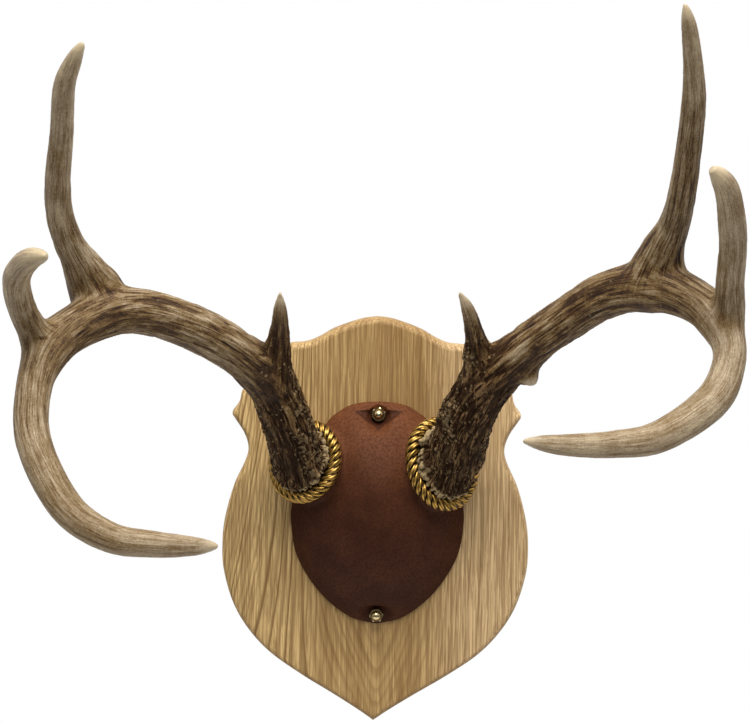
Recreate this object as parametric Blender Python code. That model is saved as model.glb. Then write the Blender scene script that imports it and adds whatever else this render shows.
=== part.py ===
"""Antler mount: a pair of antlers and a leather skull cover on an oak shield plaque.

Metres, +Z up. The wall is the plane y = 0 and the mount faces -Y. The origin lies on the
plaque's back, halfway up. Left and right are as the viewer sees them.

Antler stations give x across, the distance off the wall, z up, and the diameter there,
all in units of one length, because a grown shape has no other driving sizes.
"""
import math

import bmesh
import bpy
import numpy as np
from mathutils import Vector

# Length of one unit of the antlers' stations and seats
STATION_LENGTH = 0.001

# Gap left between pieces that touch
GAP = 0.0003
# Points closer than this are one point
MERGE = 0.00002

# Oak plaque
PLAQUE_HEIGHT = 0.3556
PLAQUE_WIDTH = 0.2660
PLAQUE_THICK = 0.0190
ROUTED_WIDTH = 0.0050
ROUTED_DEPTH = 0.0060
ROUTED_STEPS = 2
EASED_BACK = 0.0010
# Half outline from the top to the tip: share of the height down, share of the half width
PLAQUE_CURVES = (
    ((0.000, 0.000), (0.004, 0.085), (0.014, 0.175), (0.030, 0.285), (0.049, 0.372),
     (0.062, 0.455), (0.066, 0.560)),
    ((0.066, 0.560), (0.080, 0.600), (0.108, 0.660), (0.142, 0.745), (0.165, 0.815),
     (0.178, 0.860), (0.185, 0.878)),
    ((0.185, 0.878), (0.202, 0.886), (0.218, 0.904), (0.236, 0.938), (0.251, 0.918), (0.285, 0.860),
     (0.322, 0.832), (0.360, 0.858), (0.420, 0.930), (0.500, 0.985), (0.562, 1.000),
     (0.625, 0.990), (0.705, 0.930), (0.770, 0.832), (0.830, 0.686), (0.885, 0.480),
     (0.935, 0.262), (0.975, 0.095), (1.000, 0.000)),
)
PLAQUE_CURVE_STEPS = (5, 6, 30)

# Leather cover, an egg with the narrow end up
COVER_TOP = 0.1060
COVER_FOOT = -0.0895
COVER_HALF_WIDTH = 0.0750
COVER_CENTRE_X = 0.0015
COVER_CREST_Z = 0.0300
COVER_CREST_HEIGHT = 0.0500
# Fullness of the dome towards its crest and towards its edge
DOME_FULLNESS = 1.9
DOME_EDGE_POWER = 0.95
COVER_EDGE = 0.0022
COVER_SPOKES = 48
COVER_RINGS = 9
# Half outline from the top down: share of the height down, share of the half width
COVER_OUTLINE = (
    (0.000, 0.000), (0.003, 0.160), (0.018, 0.330), (0.045, 0.450), (0.085, 0.570),
    (0.200, 0.740), (0.330, 0.905), (0.475, 0.990), (0.550, 0.996), (0.665, 0.950),
    (0.755, 0.850), (0.850, 0.680), (0.930, 0.465), (0.979, 0.250), (1.000, 0.000),
)
# Dimples pressed round the two bolts
DIMPLE_FLOOR = 0.0040
DIMPLE_SLOPE = 3.0
# How much wider than high a dimple is
DIMPLE_SPREAD = 1.8
# Length over which a dimple's rim is rounded
DIMPLE_ROUNDING = 0.0030
TOP_DIMPLE_RADIUS = 0.0085
FOOT_DIMPLE_RADIUS = 0.0070
TOP_BOLT_Z = 0.0960
FOOT_BOLT_Z = -0.0800
BOLT_X = 0.0015

# Acorn nuts
NUT_ACROSS_FLATS = 0.0111
NUT_HEX_HEIGHT = 0.0050
NUT_DOME_RADIUS = 0.0052
NUT_DOME_HEIGHT = 0.0058
# The cap starts a little inside the hexagon
NUT_DOME_SINK = 0.0005
NUT_DOME_ROWS = 4
NUT_DOME_SPAN = math.radians(80)
NUT_SIDES = 12

# Rope trims
ROPE_THICK = 0.0115
ROPE_STRANDS = 3
ROPE_LOBE = 0.13
ROPE_TURNS = 9
ROPE_STEPS = 72
ROPE_POINTS = 6
RING_RADIUS = 0.0296

# Antler bases: the axis of the burr, where the rope sits on it, and the burr's profile
BURR_SIDES = 28
BURR_KNOBS = 14
BURR_KNOB_SHARE = 0.045
# Part of the burr's swelling at which its knobs reach their full height
BURR_KNOB_RISE = 0.25
# Room between the antler's foot and the rope round it
ROPE_CLEARANCE = 0.00135
PEDICLE_RADIUS = RING_RADIUS - ROPE_THICK / 2 - ROPE_CLEARANCE
# Distance along the axis from the rope's centre as a share of the rope's thickness, and
# radius as a share of the foot's
BURR_PROFILE = (
    (0.000, 1.000), (0.400, 1.031), (0.591, 1.164), (0.870, 1.262),
    (1.200, 1.227), (1.565, 1.093), (1.957, 0.924), (2.130, 0.533),
)
LEFT_AXIS = (-0.50, -0.80, 0.33)
LEFT_SEAT = (-60.8, 48.0, 58.0)
LEFT_STRETCH = 1.03
RIGHT_AXIS = (0.48, -0.81, 0.34)
RIGHT_SEAT = (56.2, 48.0, 57.0)
RIGHT_STRETCH = 1.18

# Leather collar under the rope, and the space cut in it for the rope and the burr
COLLAR_OVERHANG = 0.0024
# Where the collar's rim begins and ends, as shares of the rope's thickness past its centre
COLLAR_RIM = (-0.35, 0.09)
COLLAR_SIDES = 30
# Extra depth of the dome and the collars before their backs are trimmed flat together
DOME_TRIM = 0.0040
COLLAR_TRIM = 0.0020
GROOVE_STEPS = 5
# The rope's groove in the collar: where it starts round the rope, and how far it goes
GROOVE_START = math.radians(200)
GROOVE_SPAN = math.radians(160)
SOCKET_FLARE = 0.0015
SOCKET_REACH = 0.0450

# Branches: x, off the wall, z, diameter
LEFT_BEAM = (
    (-67.0, 62, 65, 43.0), (-70.5, 78, 81, 41.5), (-76.5, 98, 105, 40.0),
    (-89.0, 122, 137, 38.0), (-113.0, 148, 163.5, 36.0), (-150.0, 175, 188, 36.0),
    (-193.0, 202, 202, 35.5), (-229.0, 228, 193, 35.0), (-250.0, 252, 175, 31.5),
    (-257.5, 278, 148, 27.0), (-252.5, 306, 113, 26.5), (-226.0, 332, 72, 25.5),
    (-193.0, 342, 52, 22.5), (-160.0, 346, 48, 19.5), (-134.5, 346, 47, 15.0),
    (-121.0, 345.5, 47, 9.5), (-114.0, 345, 47, 3.5),
)
LEFT_BROW = (
    (-84, 126, 138, 28.0), (-80.5, 141, 158, 22.5), (-79.0, 152, 173, 17.5),
    (-78.0, 164, 190, 13.8), (-77.5, 174, 204, 9.8), (-77.2, 181, 215.5, 3.0),
)
LEFT_G2 = (
    (-208, 205, 200, 22.0), (-218, 206, 217, 40.0), (-225.5, 216, 233, 34.0),
    (-231, 228, 246.5, 26.0), (-236, 240, 259.5, 22.5), (-240, 258, 283, 20.8), (-238, 277, 309, 19.2),
    (-232, 300, 344, 17.5), (-227, 323, 376, 16.2), (-219, 335, 394, 12.6),
    (-213, 341, 404.5, 7.2), (-211, 343, 408, 2.8),
)
LEFT_G3 = (
    (-251, 240, 172, 28.0), (-259, 255, 189, 23.5), (-265.5, 280, 213, 21.5),
    (-265.0, 306, 234, 21.0), (-258.5, 323, 246, 19.3), (-249, 340, 254, 16.3),
    (-240, 351, 256.5, 10.5), (-235.5, 356, 257, 4.5),
)
RIGHT_BEAM = (
    (66.5, 62, 63, 45.0), (69.0, 78, 79, 45.5), (74.5, 98, 104, 45.0),
    (88.0, 122, 135, 42.5), (109.0, 147, 161, 37.0), (141.0, 168, 190, 34.5),
    (180.0, 194, 219, 36.5), (216.0, 220, 226, 36.0), (244.0, 246, 217, 32.5),
    (260.0, 266, 197, 26.5), (261.5, 281, 177, 25.0), (247.0, 299, 151, 27.0),
    (207.0, 322, 128, 24.0), (172.5, 334, 123.5, 20.3), (139.5, 340, 123.5, 16.6),
    (119.0, 342, 125, 11.8), (105.0, 342, 126.5, 3.6),
)
RIGHT_BROW = (
    (87, 126, 137, 28.0), (81.5, 140, 157, 22.5), (78.5, 152, 174, 17.0),
    (74.5, 164, 192, 13.5), (69.5, 174, 206, 10.0), (63.2, 181, 217.5, 3.0),
)
RIGHT_G2 = (
    (207, 212, 213, 22.0), (210, 214, 230, 39.0), (215, 224, 251, 36.0),
    (218.5, 234, 264.5, 28.5), (222.5, 246, 279, 23.6), (224, 272, 302, 21.2), (225, 299, 342, 19.0),
    (224.5, 319, 372, 17.5), (221, 335, 397, 14.5), (216, 349, 421, 12.0),
    (213, 354, 432.5, 8.4), (210.8, 357, 440, 2.8),
)
RIGHT_G3 = (
    (258, 252, 200, 28.0), (262.5, 266, 216, 23.5), (260, 284, 238, 21.5),
    (258.5, 302, 263, 20.9), (254.5, 318, 286, 20.5), (249, 331, 307, 18.8),
    (242, 339, 318, 15.0), (235, 344, 324, 6.5),
)
RIGHT_KICKER = (
    (113, 145, 161, 18.0), (119.5, 151, 151, 12.5), (123, 156, 144.5, 10.5),
    (123.6, 158, 140.5, 3.4),
)
BEAM_SIDES = 15
TINE_SIDES = 11
RINGS_PER_STATION = 2
TINE_RINGS_PER_STATION = 1.5
# Lengthwise ridges of the antler that show from a step away
BEAM_RIDGES = 5
BEAM_RIDGE_SHARE = 0.030
# Turn of the ridges from one end of a beam to the other
BEAM_RIDGE_TWIST = 3.0

# Fineness of the curves: points along each span and along the cover's half outline
CURVE_SPAN_STEPS = 24
COVER_OUTLINE_STEPS = 160

MATERIALS = {
    "oak": ((0.337, 0.202, 0.082), 0.75, 0.0),
    "leather": ((0.077, 0.025, 0.015), 0.40, 0.0),
    "antler": ((0.223, 0.156, 0.098), 0.40, 0.0),
    "gold_rope": ((0.342, 0.160, 0.029), 0.40, 0.0),
    "brass": ((0.500, 0.355, 0.140), 0.20, 1.0),
}


def clear_scene():
    """Remove every object so that the part starts empty."""
    for old in list(bpy.data.objects):
        bpy.data.objects.remove(old, do_unlink=True)


def make_material(name):
    """Return a Principled material for one slot."""
    colour, roughness, metallic = MATERIALS[name]
    material = bpy.data.materials.new(name)
    material.use_nodes = True
    shader = material.node_tree.nodes["Principled BSDF"]
    shader.inputs["Base Color"].default_value = (*colour, 1.0)
    shader.inputs["Roughness"].default_value = roughness
    shader.inputs["Metallic"].default_value = metallic
    return material


def make_object(name, verts, faces):
    """Link a mesh object and turn its faces outwards."""
    mesh = bpy.data.meshes.new(name)
    mesh.from_pydata([tuple(v) for v in verts], [], faces)
    bm = bmesh.new()
    bm.from_mesh(mesh)
    bmesh.ops.recalc_face_normals(bm, faces=bm.faces)
    bm.to_mesh(mesh)
    bm.free()
    obj = bpy.data.objects.new(name, mesh)
    bpy.context.scene.collection.objects.link(obj)
    return obj


def combine(base, cutters, operation):
    """Apply exact Booleans of the cutters to the base and drop the cutters."""
    for cutter in cutters:
        modifier = base.modifiers.new("combine", "BOOLEAN")
        modifier.operation = operation
        modifier.solver = "EXACT"
        modifier.object = cutter
    depsgraph = bpy.context.evaluated_depsgraph_get()
    depsgraph.update()
    mesh = bpy.data.meshes.new_from_object(base.evaluated_get(depsgraph))
    base.modifiers.clear()
    bm = bmesh.new()
    bm.from_mesh(mesh)
    bmesh.ops.remove_doubles(bm, verts=bm.verts, dist=MERGE)
    bm.to_mesh(mesh)
    bm.free()
    base.data = mesh
    for cutter in cutters:
        bpy.data.objects.remove(cutter, do_unlink=True)
    return base


def finish(obj, slot, angle):
    """Give the piece its own material and smooth shading up to an angle in degrees."""
    obj.data.materials.clear()
    obj.data.materials.append(make_material(slot))
    obj.data.shade_smooth()
    obj.data.set_sharp_from_angle(angle=math.radians(angle))
    return obj


def curve_points(points, count):
    """Return count + 1 points evenly spaced along a smooth curve through the points."""
    keys = np.array(points, dtype=float)
    first = 2 * keys[0] - keys[1]
    last = 2 * keys[-1] - keys[-2]
    padded = np.vstack([first, keys, last])
    fine = []
    for i in range(len(keys) - 1):
        p0, p1, p2, p3 = padded[i:i + 4]
        for t in np.linspace(0.0, 1.0, CURVE_SPAN_STEPS, endpoint=False):
            fine.append(0.5 * (2 * p1 + (p2 - p0) * t + (2 * p0 - 5 * p1 + 4 * p2 - p3) * t ** 2
                               + (3 * p1 - p0 - 3 * p2 + p3) * t ** 3))
    fine.append(keys[-1])
    fine = np.array(fine)
    span = min(3, fine.shape[1])
    steps = np.linalg.norm(np.diff(fine[:, :span], axis=0), axis=1)
    run = np.concatenate([[0.0], np.cumsum(steps)])
    wanted = np.linspace(0.0, run[-1], count + 1)
    return np.stack([np.interp(wanted, run, fine[:, k]) for k in range(fine.shape[1])], axis=1)


def bridge(size, count, closed_ends=True):
    """Return the faces that join a count of rings of one size, with flat end caps."""
    faces = []
    for j in range(count - 1):
        for i in range(size):
            a = j * size + i
            b = j * size + (i + 1) % size
            faces.append((a, b, b + size, a + size))
    if closed_ends:
        faces.append(tuple(range(size - 1, -1, -1)))
        faces.append(tuple(range((count - 1) * size, count * size)))
    return faces


def inset_outline(points, width):
    """Return the outline moved inwards by a width, mitred at its corners."""
    count = len(points)
    moved = []
    for i in range(count):
        before = points[i] - points[i - 1]
        after = points[(i + 1) % count] - points[i]
        n1 = np.array([before[1], -before[0]]) / np.linalg.norm(before)
        n2 = np.array([after[1], -after[0]]) / np.linalg.norm(after)
        middle = n1 + n2
        middle = middle / np.linalg.norm(middle)
        moved.append(points[i] + middle * width / float(middle @ n1))
    return np.array(moved)


def plaque_outline():
    """Return the shield's outline, clockwise from the top as the viewer sees it."""
    half = []
    for curve, steps in zip(PLAQUE_CURVES, PLAQUE_CURVE_STEPS):
        metres = [(share * PLAQUE_WIDTH / 2, PLAQUE_HEIGHT / 2 - down * PLAQUE_HEIGHT)
                  for down, share in curve]
        points = curve_points(metres, steps)
        half.extend(points if not half else points[1:])
    half = np.array(half)
    half[0, 0] = 0.0
    half[-1, 0] = 0.0
    mirrored = half[-2:0:-1] * np.array([-1.0, 1.0])
    return np.vstack([half, mirrored])


def build_plaque():
    """Build the oak shield: flat back, square sides and a routed front edge."""
    outline = plaque_outline()
    levels = [(0.0, EASED_BACK), (EASED_BACK, 0.0), (PLAQUE_THICK - ROUTED_DEPTH, 0.0)]
    for step in range(1, ROUTED_STEPS + 1):
        turn = step / ROUTED_STEPS * math.pi / 2
        inward = ROUTED_WIDTH * (1 - math.cos(turn))
        forward = ROUTED_DEPTH * math.sin(turn)
        levels.append((PLAQUE_THICK - ROUTED_DEPTH + forward, inward))
    verts = []
    for off, inward in levels:
        ring = inset_outline(outline, inward) if inward else outline
        verts.extend((x, -off, z) for x, z in ring)
    faces = bridge(len(outline), len(levels))
    return finish(make_object("oak_plaque", verts, faces), "oak", 32)


def cover_outline(angle):
    """Return how far the cover's edge lies from its crest along a direction."""
    height = COVER_TOP - COVER_FOOT
    rows = [(share * COVER_HALF_WIDTH, COVER_TOP - down * height) for down, share in COVER_OUTLINE]
    edge = curve_points(rows, COVER_OUTLINE_STEPS)
    turns = np.arctan2(edge[:, 0], edge[:, 1] - COVER_CREST_Z)
    reach = np.hypot(edge[:, 0], edge[:, 1] - COVER_CREST_Z)
    return float(np.interp(abs(angle), turns, reach))


def dimple_height(x, z, bolt_z, radius):
    """Return the height of the hollow pressed round a bolt."""
    away = math.hypot((x - BOLT_X) / DIMPLE_SPREAD, z - bolt_z)
    return DIMPLE_FLOOR + DIMPLE_SLOPE * max(0.0, away - radius)


def soft_min(a, b):
    """Return the lower of two heights, rounded where they meet."""
    share = min(1.0, max(0.0, 0.5 + 0.5 * (b - a) / DIMPLE_ROUNDING))
    return b * (1 - share) + a * share - DIMPLE_ROUNDING * share * (1 - share)


def cover_height(x, z, out):
    """Return the leather's height above the plaque at a share of the way to its edge."""
    rise = max(0.0, 1.0 - out ** DOME_FULLNESS) ** DOME_EDGE_POWER
    height = COVER_EDGE + COVER_CREST_HEIGHT * rise
    height = soft_min(height, dimple_height(x, z, TOP_BOLT_Z, TOP_DIMPLE_RADIUS))
    height = soft_min(height, dimple_height(x, z, FOOT_BOLT_Z, FOOT_DIMPLE_RADIUS))
    return max(COVER_EDGE, height)


def build_dome():
    """Build the cover's dome as rings from its edge to its crest."""
    verts = []
    seat = PLAQUE_THICK + GAP
    angles = [2 * math.pi * i / COVER_SPOKES for i in range(COVER_SPOKES)]
    shares = [math.sin(math.pi / 2 * (1 - j / COVER_RINGS)) for j in range(COVER_RINGS)]
    for off in (seat - DOME_TRIM, seat + COVER_EDGE):
        for angle in angles:
            reach = cover_outline(math.remainder(angle, 2 * math.pi))
            x = COVER_CENTRE_X + reach * math.sin(angle)
            z = COVER_CREST_Z + reach * math.cos(angle)
            verts.append((x, -off, z))
    for share in shares[1:]:
        for angle in angles:
            reach = share * cover_outline(math.remainder(angle, 2 * math.pi))
            x = COVER_CENTRE_X + reach * math.sin(angle)
            z = COVER_CREST_Z + reach * math.cos(angle)
            verts.append((x, -(seat + cover_height(x, z, share)), z))
    count = COVER_RINGS + 1
    faces = bridge(COVER_SPOKES, count, closed_ends=False)
    faces.append(tuple(range(COVER_SPOKES - 1, -1, -1)))
    crest = len(verts)
    verts.append((COVER_CENTRE_X, -(seat + cover_height(COVER_CENTRE_X, COVER_CREST_Z, 0.0)),
                  COVER_CREST_Z))
    last = (count - 1) * COVER_SPOKES
    for i in range(COVER_SPOKES):
        faces.append((last + i, last + (i + 1) % COVER_SPOKES, crest))
    return make_object("leather_cover", verts, faces)


def base_frame(base):
    """Return the rope's centre, the antler's axis and two spokes across it.

    The last spoke is longer than one, because the base is oval.
    """
    seat, axis, stretch = base
    centre = Vector((seat[0] * STATION_LENGTH, -seat[1] * STATION_LENGTH, seat[2] * STATION_LENGTH))
    along = Vector(axis).normalized()
    side = along.cross(Vector((0, 0, 1))).normalized()
    up = side.cross(along).normalized() * stretch
    return centre, along, side, up


def base_column(name, base, profile, sides, foot_off, knobs=0):
    """Build an oval column on an antler's axis with its foot cut parallel to the wall."""
    centre, along, side, up = base_frame(base)
    verts = []
    for i in range(sides):
        turn = 2 * math.pi * i / sides
        spoke = side * math.cos(turn) + up * math.sin(turn)
        point = centre + spoke * profile[0][1]
        slide = (-foot_off - point.y) / along.y
        verts.append(point + along * slide)
    widest = max(radius for _, radius in profile)
    for offset, radius in profile:
        swell = 0.0
        if knobs:
            swell = min(1.0, (radius - profile[0][1]) / (widest - profile[0][1]) / BURR_KNOB_RISE)
        for i in range(sides):
            turn = 2 * math.pi * i / sides
            spoke = side * math.cos(turn) + up * math.sin(turn)
            reach = radius * (1 + BURR_KNOB_SHARE * max(0.0, swell) * math.cos(knobs * turn))
            verts.append(centre + along * offset + spoke * reach)
    faces = bridge(sides, len(profile) + 1)
    return make_object(name, verts, faces)


def rope_ring(name, base):
    """Sweep the twisted section round an antler's base."""
    centre, along, side, up = base_frame(base)
    stretch = up.length
    verts = []
    for j in range(ROPE_STEPS):
        turn = 2 * math.pi * j / ROPE_STEPS
        middle = centre + (side * math.cos(turn) + up * math.sin(turn)) * RING_RADIUS
        outward = (side * math.cos(turn) + up * math.sin(turn) / stretch ** 2).normalized()
        for i in range(ROPE_POINTS):
            reach, corner = twisted_section(turn, 2 * math.pi * i / ROPE_POINTS)
            verts.append(middle + (outward * math.cos(corner) + along * math.sin(corner)) * reach)
    faces = []
    for j in range(ROPE_STEPS):
        for i in range(ROPE_POINTS):
            a = j * ROPE_POINTS + i
            b = j * ROPE_POINTS + (i + 1) % ROPE_POINTS
            c = (j + 1) % ROPE_STEPS * ROPE_POINTS + (i + 1) % ROPE_POINTS
            d = (j + 1) % ROPE_STEPS * ROPE_POINTS + i
            faces.append((a, b, c, d))
    return make_object(name, verts, faces)


def twisted_section(turn, corner):
    """Return a three-strand section that turns along the rope."""
    reach = ROPE_THICK / 2 * (1 - ROPE_LOBE * (1 - math.cos(ROPE_STRANDS * corner)) / 2)
    return reach, corner + ROPE_TURNS * turn


def build_rope(name, base):
    """Build one trim of twisted cord, closed on itself."""
    return finish(rope_ring(name, base), "gold_rope", 60)


def build_cover():
    """Build the leather cover with a collar and a socket at each antler."""
    cover = build_dome()
    collars = []
    sockets = []
    rim = [(share * ROPE_THICK, RING_RADIUS + COLLAR_OVERHANG) for share in COLLAR_RIM]
    for base in BASES.values():
        collars.append(base_column("collar", base, rim, COLLAR_SIDES, PLAQUE_THICK - COLLAR_TRIM))
        sockets.append(base_column("socket", base, socket_profile(), BURR_SIDES,
                                   PLAQUE_THICK - ROUTED_DEPTH))
    combine(cover, collars, "UNION")
    combine(cover, [trim_block()], "DIFFERENCE")
    combine(cover, sockets, "DIFFERENCE")
    combine(cover, [bolt_recess(TOP_BOLT_Z, TOP_DIMPLE_RADIUS),
                    bolt_recess(FOOT_BOLT_Z, FOOT_DIMPLE_RADIUS)], "DIFFERENCE")
    return finish(cover, "leather", 40)


def trim_block():
    """Return the block behind the plaque's face that trims the cover flat."""
    reach = PLAQUE_WIDTH
    corners = ((-reach, -reach), (reach, -reach), (reach, reach), (-reach, reach))
    verts = [(x, -off, z) for off in (0.0, PLAQUE_THICK + GAP) for x, z in corners]
    return make_object("trim", verts, bridge(4, 2))


def socket_profile():
    """Return the profile of the space kept for the antler's base, its rope and its burr."""
    bore = PEDICLE_RADIUS + GAP
    groove = ROPE_THICK / 2 + GAP
    profile = [(-groove / 2, bore)]
    for step in range(GROOVE_STEPS + 1):
        turn = GROOVE_START + GROOVE_SPAN * step / GROOVE_STEPS
        profile.append((groove * math.sin(turn), RING_RADIUS + groove * math.cos(turn)))
    profile.append((SOCKET_REACH, RING_RADIUS + groove + SOCKET_FLARE))
    return profile


def bolt_recess(bolt_z, radius):
    """Return the round space pressed into the leather for one nut."""
    verts = []
    for off in (PLAQUE_THICK + GAP + DIMPLE_FLOOR, PLAQUE_THICK + COVER_CREST_HEIGHT):
        for i in range(NUT_SIDES):
            turn = 2 * math.pi * i / NUT_SIDES
            verts.append((BOLT_X + radius * math.sin(turn), -off, bolt_z + radius * math.cos(turn)))
    return make_object("recess", verts, bridge(NUT_SIDES, 2))


def tube(name, stations, rings, sides, ridges=0):
    """Sweep a tapering, softly ridged tube along its stations."""
    keys = [(x * STATION_LENGTH, -off * STATION_LENGTH, z * STATION_LENGTH, dia * STATION_LENGTH / 2) for x, off, z, dia in stations]
    line = curve_points(keys, rings)
    spots = [Vector(p[:3]) for p in line]
    heading = (spots[1] - spots[0]).normalized()
    across = heading.orthogonal().normalized()
    verts = []
    for j, spot in enumerate(spots):
        nearby = spots[min(j + 1, rings)] - spots[max(j - 1, 0)]
        new_heading = nearby.normalized()
        turn = heading.rotation_difference(new_heading)
        across = (turn @ across).normalized()
        heading = new_heading
        over = heading.cross(across).normalized()
        radius = line[j][3]
        for i in range(sides):
            angle = 2 * math.pi * i / sides
            ridge = 1.0
            if ridges:
                ridge += BEAM_RIDGE_SHARE * math.cos(ridges * angle + BEAM_RIDGE_TWIST * j / rings)
            verts.append(spot + (across * math.cos(angle) + over * math.sin(angle)) * radius * ridge)
    return make_object(name, verts, bridge(sides, rings + 1))


def build_antler(side, beam, tines):
    """Build one antler as a single body: burr, beam and points."""
    profile = [(along * ROPE_THICK, share * PEDICLE_RADIUS) for along, share in BURR_PROFILE]
    burr = base_column(f"antler_{side}", BASES[side], profile, BURR_SIDES,
                       PLAQUE_THICK + GAP, BURR_KNOBS)
    beam_rings = RINGS_PER_STATION * len(beam)
    parts = [tube("beam", beam, beam_rings, BEAM_SIDES, BEAM_RIDGES)]
    for stations in tines:
        tine_rings = round(TINE_RINGS_PER_STATION * len(stations))
        parts.append(tube("tine", stations, tine_rings, TINE_SIDES))
    combine(burr, parts, "UNION")
    return finish(burr, "antler", 50)


def build_nut(name, bolt_z):
    """Build an acorn nut: a hexagon with a round cap."""
    seat = PLAQUE_THICK + GAP + DIMPLE_FLOOR + GAP
    corner = NUT_ACROSS_FLATS / math.sqrt(3)
    verts = []
    for off in (seat, seat + NUT_HEX_HEIGHT):
        for i in range(6):
            turn = math.pi / 3 * i
            verts.append((BOLT_X + corner * math.sin(turn), -off, bolt_z + corner * math.cos(turn)))
    nut = make_object(name, verts, bridge(6, 2))
    dome_verts = []
    for j in range(NUT_DOME_ROWS + 1):
        rise = j / NUT_DOME_ROWS * NUT_DOME_SPAN
        for i in range(NUT_SIDES):
            turn = 2 * math.pi * i / NUT_SIDES
            reach = NUT_DOME_RADIUS * math.cos(rise)
            off = seat + NUT_HEX_HEIGHT - NUT_DOME_SINK + NUT_DOME_HEIGHT * math.sin(rise)
            dome_verts.append((BOLT_X + reach * math.sin(turn), -off, bolt_z + reach * math.cos(turn)))
    cap = make_object("cap", dome_verts, bridge(NUT_SIDES, NUT_DOME_ROWS + 1))
    combine(nut, [cap], "UNION")
    return finish(nut, "brass", 35)


BASES = {
    "left": (LEFT_SEAT, LEFT_AXIS, LEFT_STRETCH),
    "right": (RIGHT_SEAT, RIGHT_AXIS, RIGHT_STRETCH),
}


def main():
    """Build every piece of the mount."""
    clear_scene()
    build_plaque()
    build_cover()
    build_antler("left", LEFT_BEAM, (LEFT_BROW, LEFT_G2, LEFT_G3))
    build_antler("right", RIGHT_BEAM, (RIGHT_BROW, RIGHT_KICKER, RIGHT_G2, RIGHT_G3))
    for side, base in BASES.items():
        build_rope(f"rope_trim_{side}", base)
    build_nut("cap_nut_top", TOP_BOLT_Z)
    build_nut("cap_nut_bottom", FOOT_BOLT_Z)


main()
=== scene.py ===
"""Looks of the antler mount: two antlers, a leather skull cover, rope trims and cap nuts on oak.

Metres, +Z up. The wall is the plane y = 0 and the mount faces -Y. The origin lies on the
plaque's back, halfway up. Left and right are as the viewer sees them.
"""
from __future__ import annotations

import logging
import math
from collections.abc import Iterator
from contextlib import contextmanager
from dataclasses import dataclass
from enum import Enum

import bmesh
import bpy
import numpy as np
from mathutils import Matrix, Vector

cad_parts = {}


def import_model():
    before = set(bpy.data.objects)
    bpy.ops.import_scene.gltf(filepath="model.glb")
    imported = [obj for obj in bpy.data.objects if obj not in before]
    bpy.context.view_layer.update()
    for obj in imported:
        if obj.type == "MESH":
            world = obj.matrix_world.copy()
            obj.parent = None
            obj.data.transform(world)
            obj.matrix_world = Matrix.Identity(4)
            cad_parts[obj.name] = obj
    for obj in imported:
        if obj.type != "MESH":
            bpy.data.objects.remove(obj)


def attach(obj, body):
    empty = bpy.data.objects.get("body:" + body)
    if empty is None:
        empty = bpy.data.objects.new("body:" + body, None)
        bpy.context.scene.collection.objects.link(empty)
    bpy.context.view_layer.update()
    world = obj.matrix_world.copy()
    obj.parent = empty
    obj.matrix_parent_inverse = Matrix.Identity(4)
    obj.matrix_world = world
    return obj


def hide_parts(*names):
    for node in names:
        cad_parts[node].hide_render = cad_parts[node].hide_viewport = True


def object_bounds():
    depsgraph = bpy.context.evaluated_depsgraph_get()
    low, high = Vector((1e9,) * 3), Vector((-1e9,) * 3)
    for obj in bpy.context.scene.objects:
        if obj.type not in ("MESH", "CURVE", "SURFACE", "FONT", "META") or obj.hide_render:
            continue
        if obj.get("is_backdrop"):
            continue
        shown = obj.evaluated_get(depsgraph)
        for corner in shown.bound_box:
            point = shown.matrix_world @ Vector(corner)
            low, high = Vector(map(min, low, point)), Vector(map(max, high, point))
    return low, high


LOG = logging.getLogger("antler_mount")
MM = 0.001
# Where the leather rests, the two bolts and the rope ring, shared by several pieces
SEAT = 0.0193
BOLT_X = 0.0015
TOP_BOLT = 0.0960
FOOT_BOLT = -0.0800
RING_RADIUS = 0.0296
ROPE_THICK = 0.0115
# The wedge pressed into the leather at the top bolt: a V that widens upwards
WEDGE_FOOT = 0.0835
WEDGE_TOP = 0.1004
WEDGE_BOW = 3.0
WEDGE_SLOPE = 0.72

Station = tuple[float, float, float, float]
Pair = tuple[float, float]
Colour = tuple[float, float, float]


class Slot(Enum):
    """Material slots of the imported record."""

    OAK = "oak"
    LEATHER = "leather"
    ANTLER = "antler"
    ROPE = "gold_rope"
    BRASS = "brass"


class Side(Enum):
    """Sides of the mount as the viewer sees them."""

    LEFT = "left"
    RIGHT = "right"

    @property
    def inward(self) -> float:
        """Sign of X that points to the middle of the mount."""
        return 1.0 if self is Side.LEFT else -1.0


# Noise for relief


def hashed(cells: np.ndarray, seed: int) -> np.ndarray:
    """Return a repeatable random whole number for every cell of a lattice.

    Args:
        cells: whole-number cell places, one row each.
        seed: number that picks the pattern.

    Returns:
        One unsigned number per row.
    """
    c = cells.astype(np.int64).astype(np.uint32)
    h = c[..., 0] * np.uint32(374761393) + c[..., 1] * np.uint32(668265263)
    h = h + c[..., 2] * np.uint32(2246822519) + np.uint32(seed * 974711 + 12345)
    h = (h ^ (h >> np.uint32(13))) * np.uint32(1274126177)
    h = (h ^ (h >> np.uint32(15))) * np.uint32(2654435761)
    return h ^ (h >> np.uint32(16))


def gradient_noise(points: np.ndarray, seed: int = 0) -> np.ndarray:
    """Return smooth noise between about -1 and 1 at the points.

    Args:
        points: places in units of one cell.
        seed: number that picks the pattern.

    Returns:
        One number per point.
    """
    base = np.floor(points)
    part = points - base
    fade = part * part * part * (part * (part * 6 - 15) + 10)
    total = np.zeros(len(points))
    for corner in range(8):
        step = np.array([corner & 1, corner >> 1 & 1, corner >> 2 & 1])
        h = hashed(base + step, seed)
        slope = np.stack([(h & 1023) / 511.5 - 1, (h >> 10 & 1023) / 511.5 - 1,
                          (h >> 20 & 1023) / 511.5 - 1], axis=1)
        weight = np.prod(np.where(step == 1, fade, 1 - fade), axis=1)
        total += weight * np.sum(slope * (part - step), axis=1)
    return total * 1.4


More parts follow.
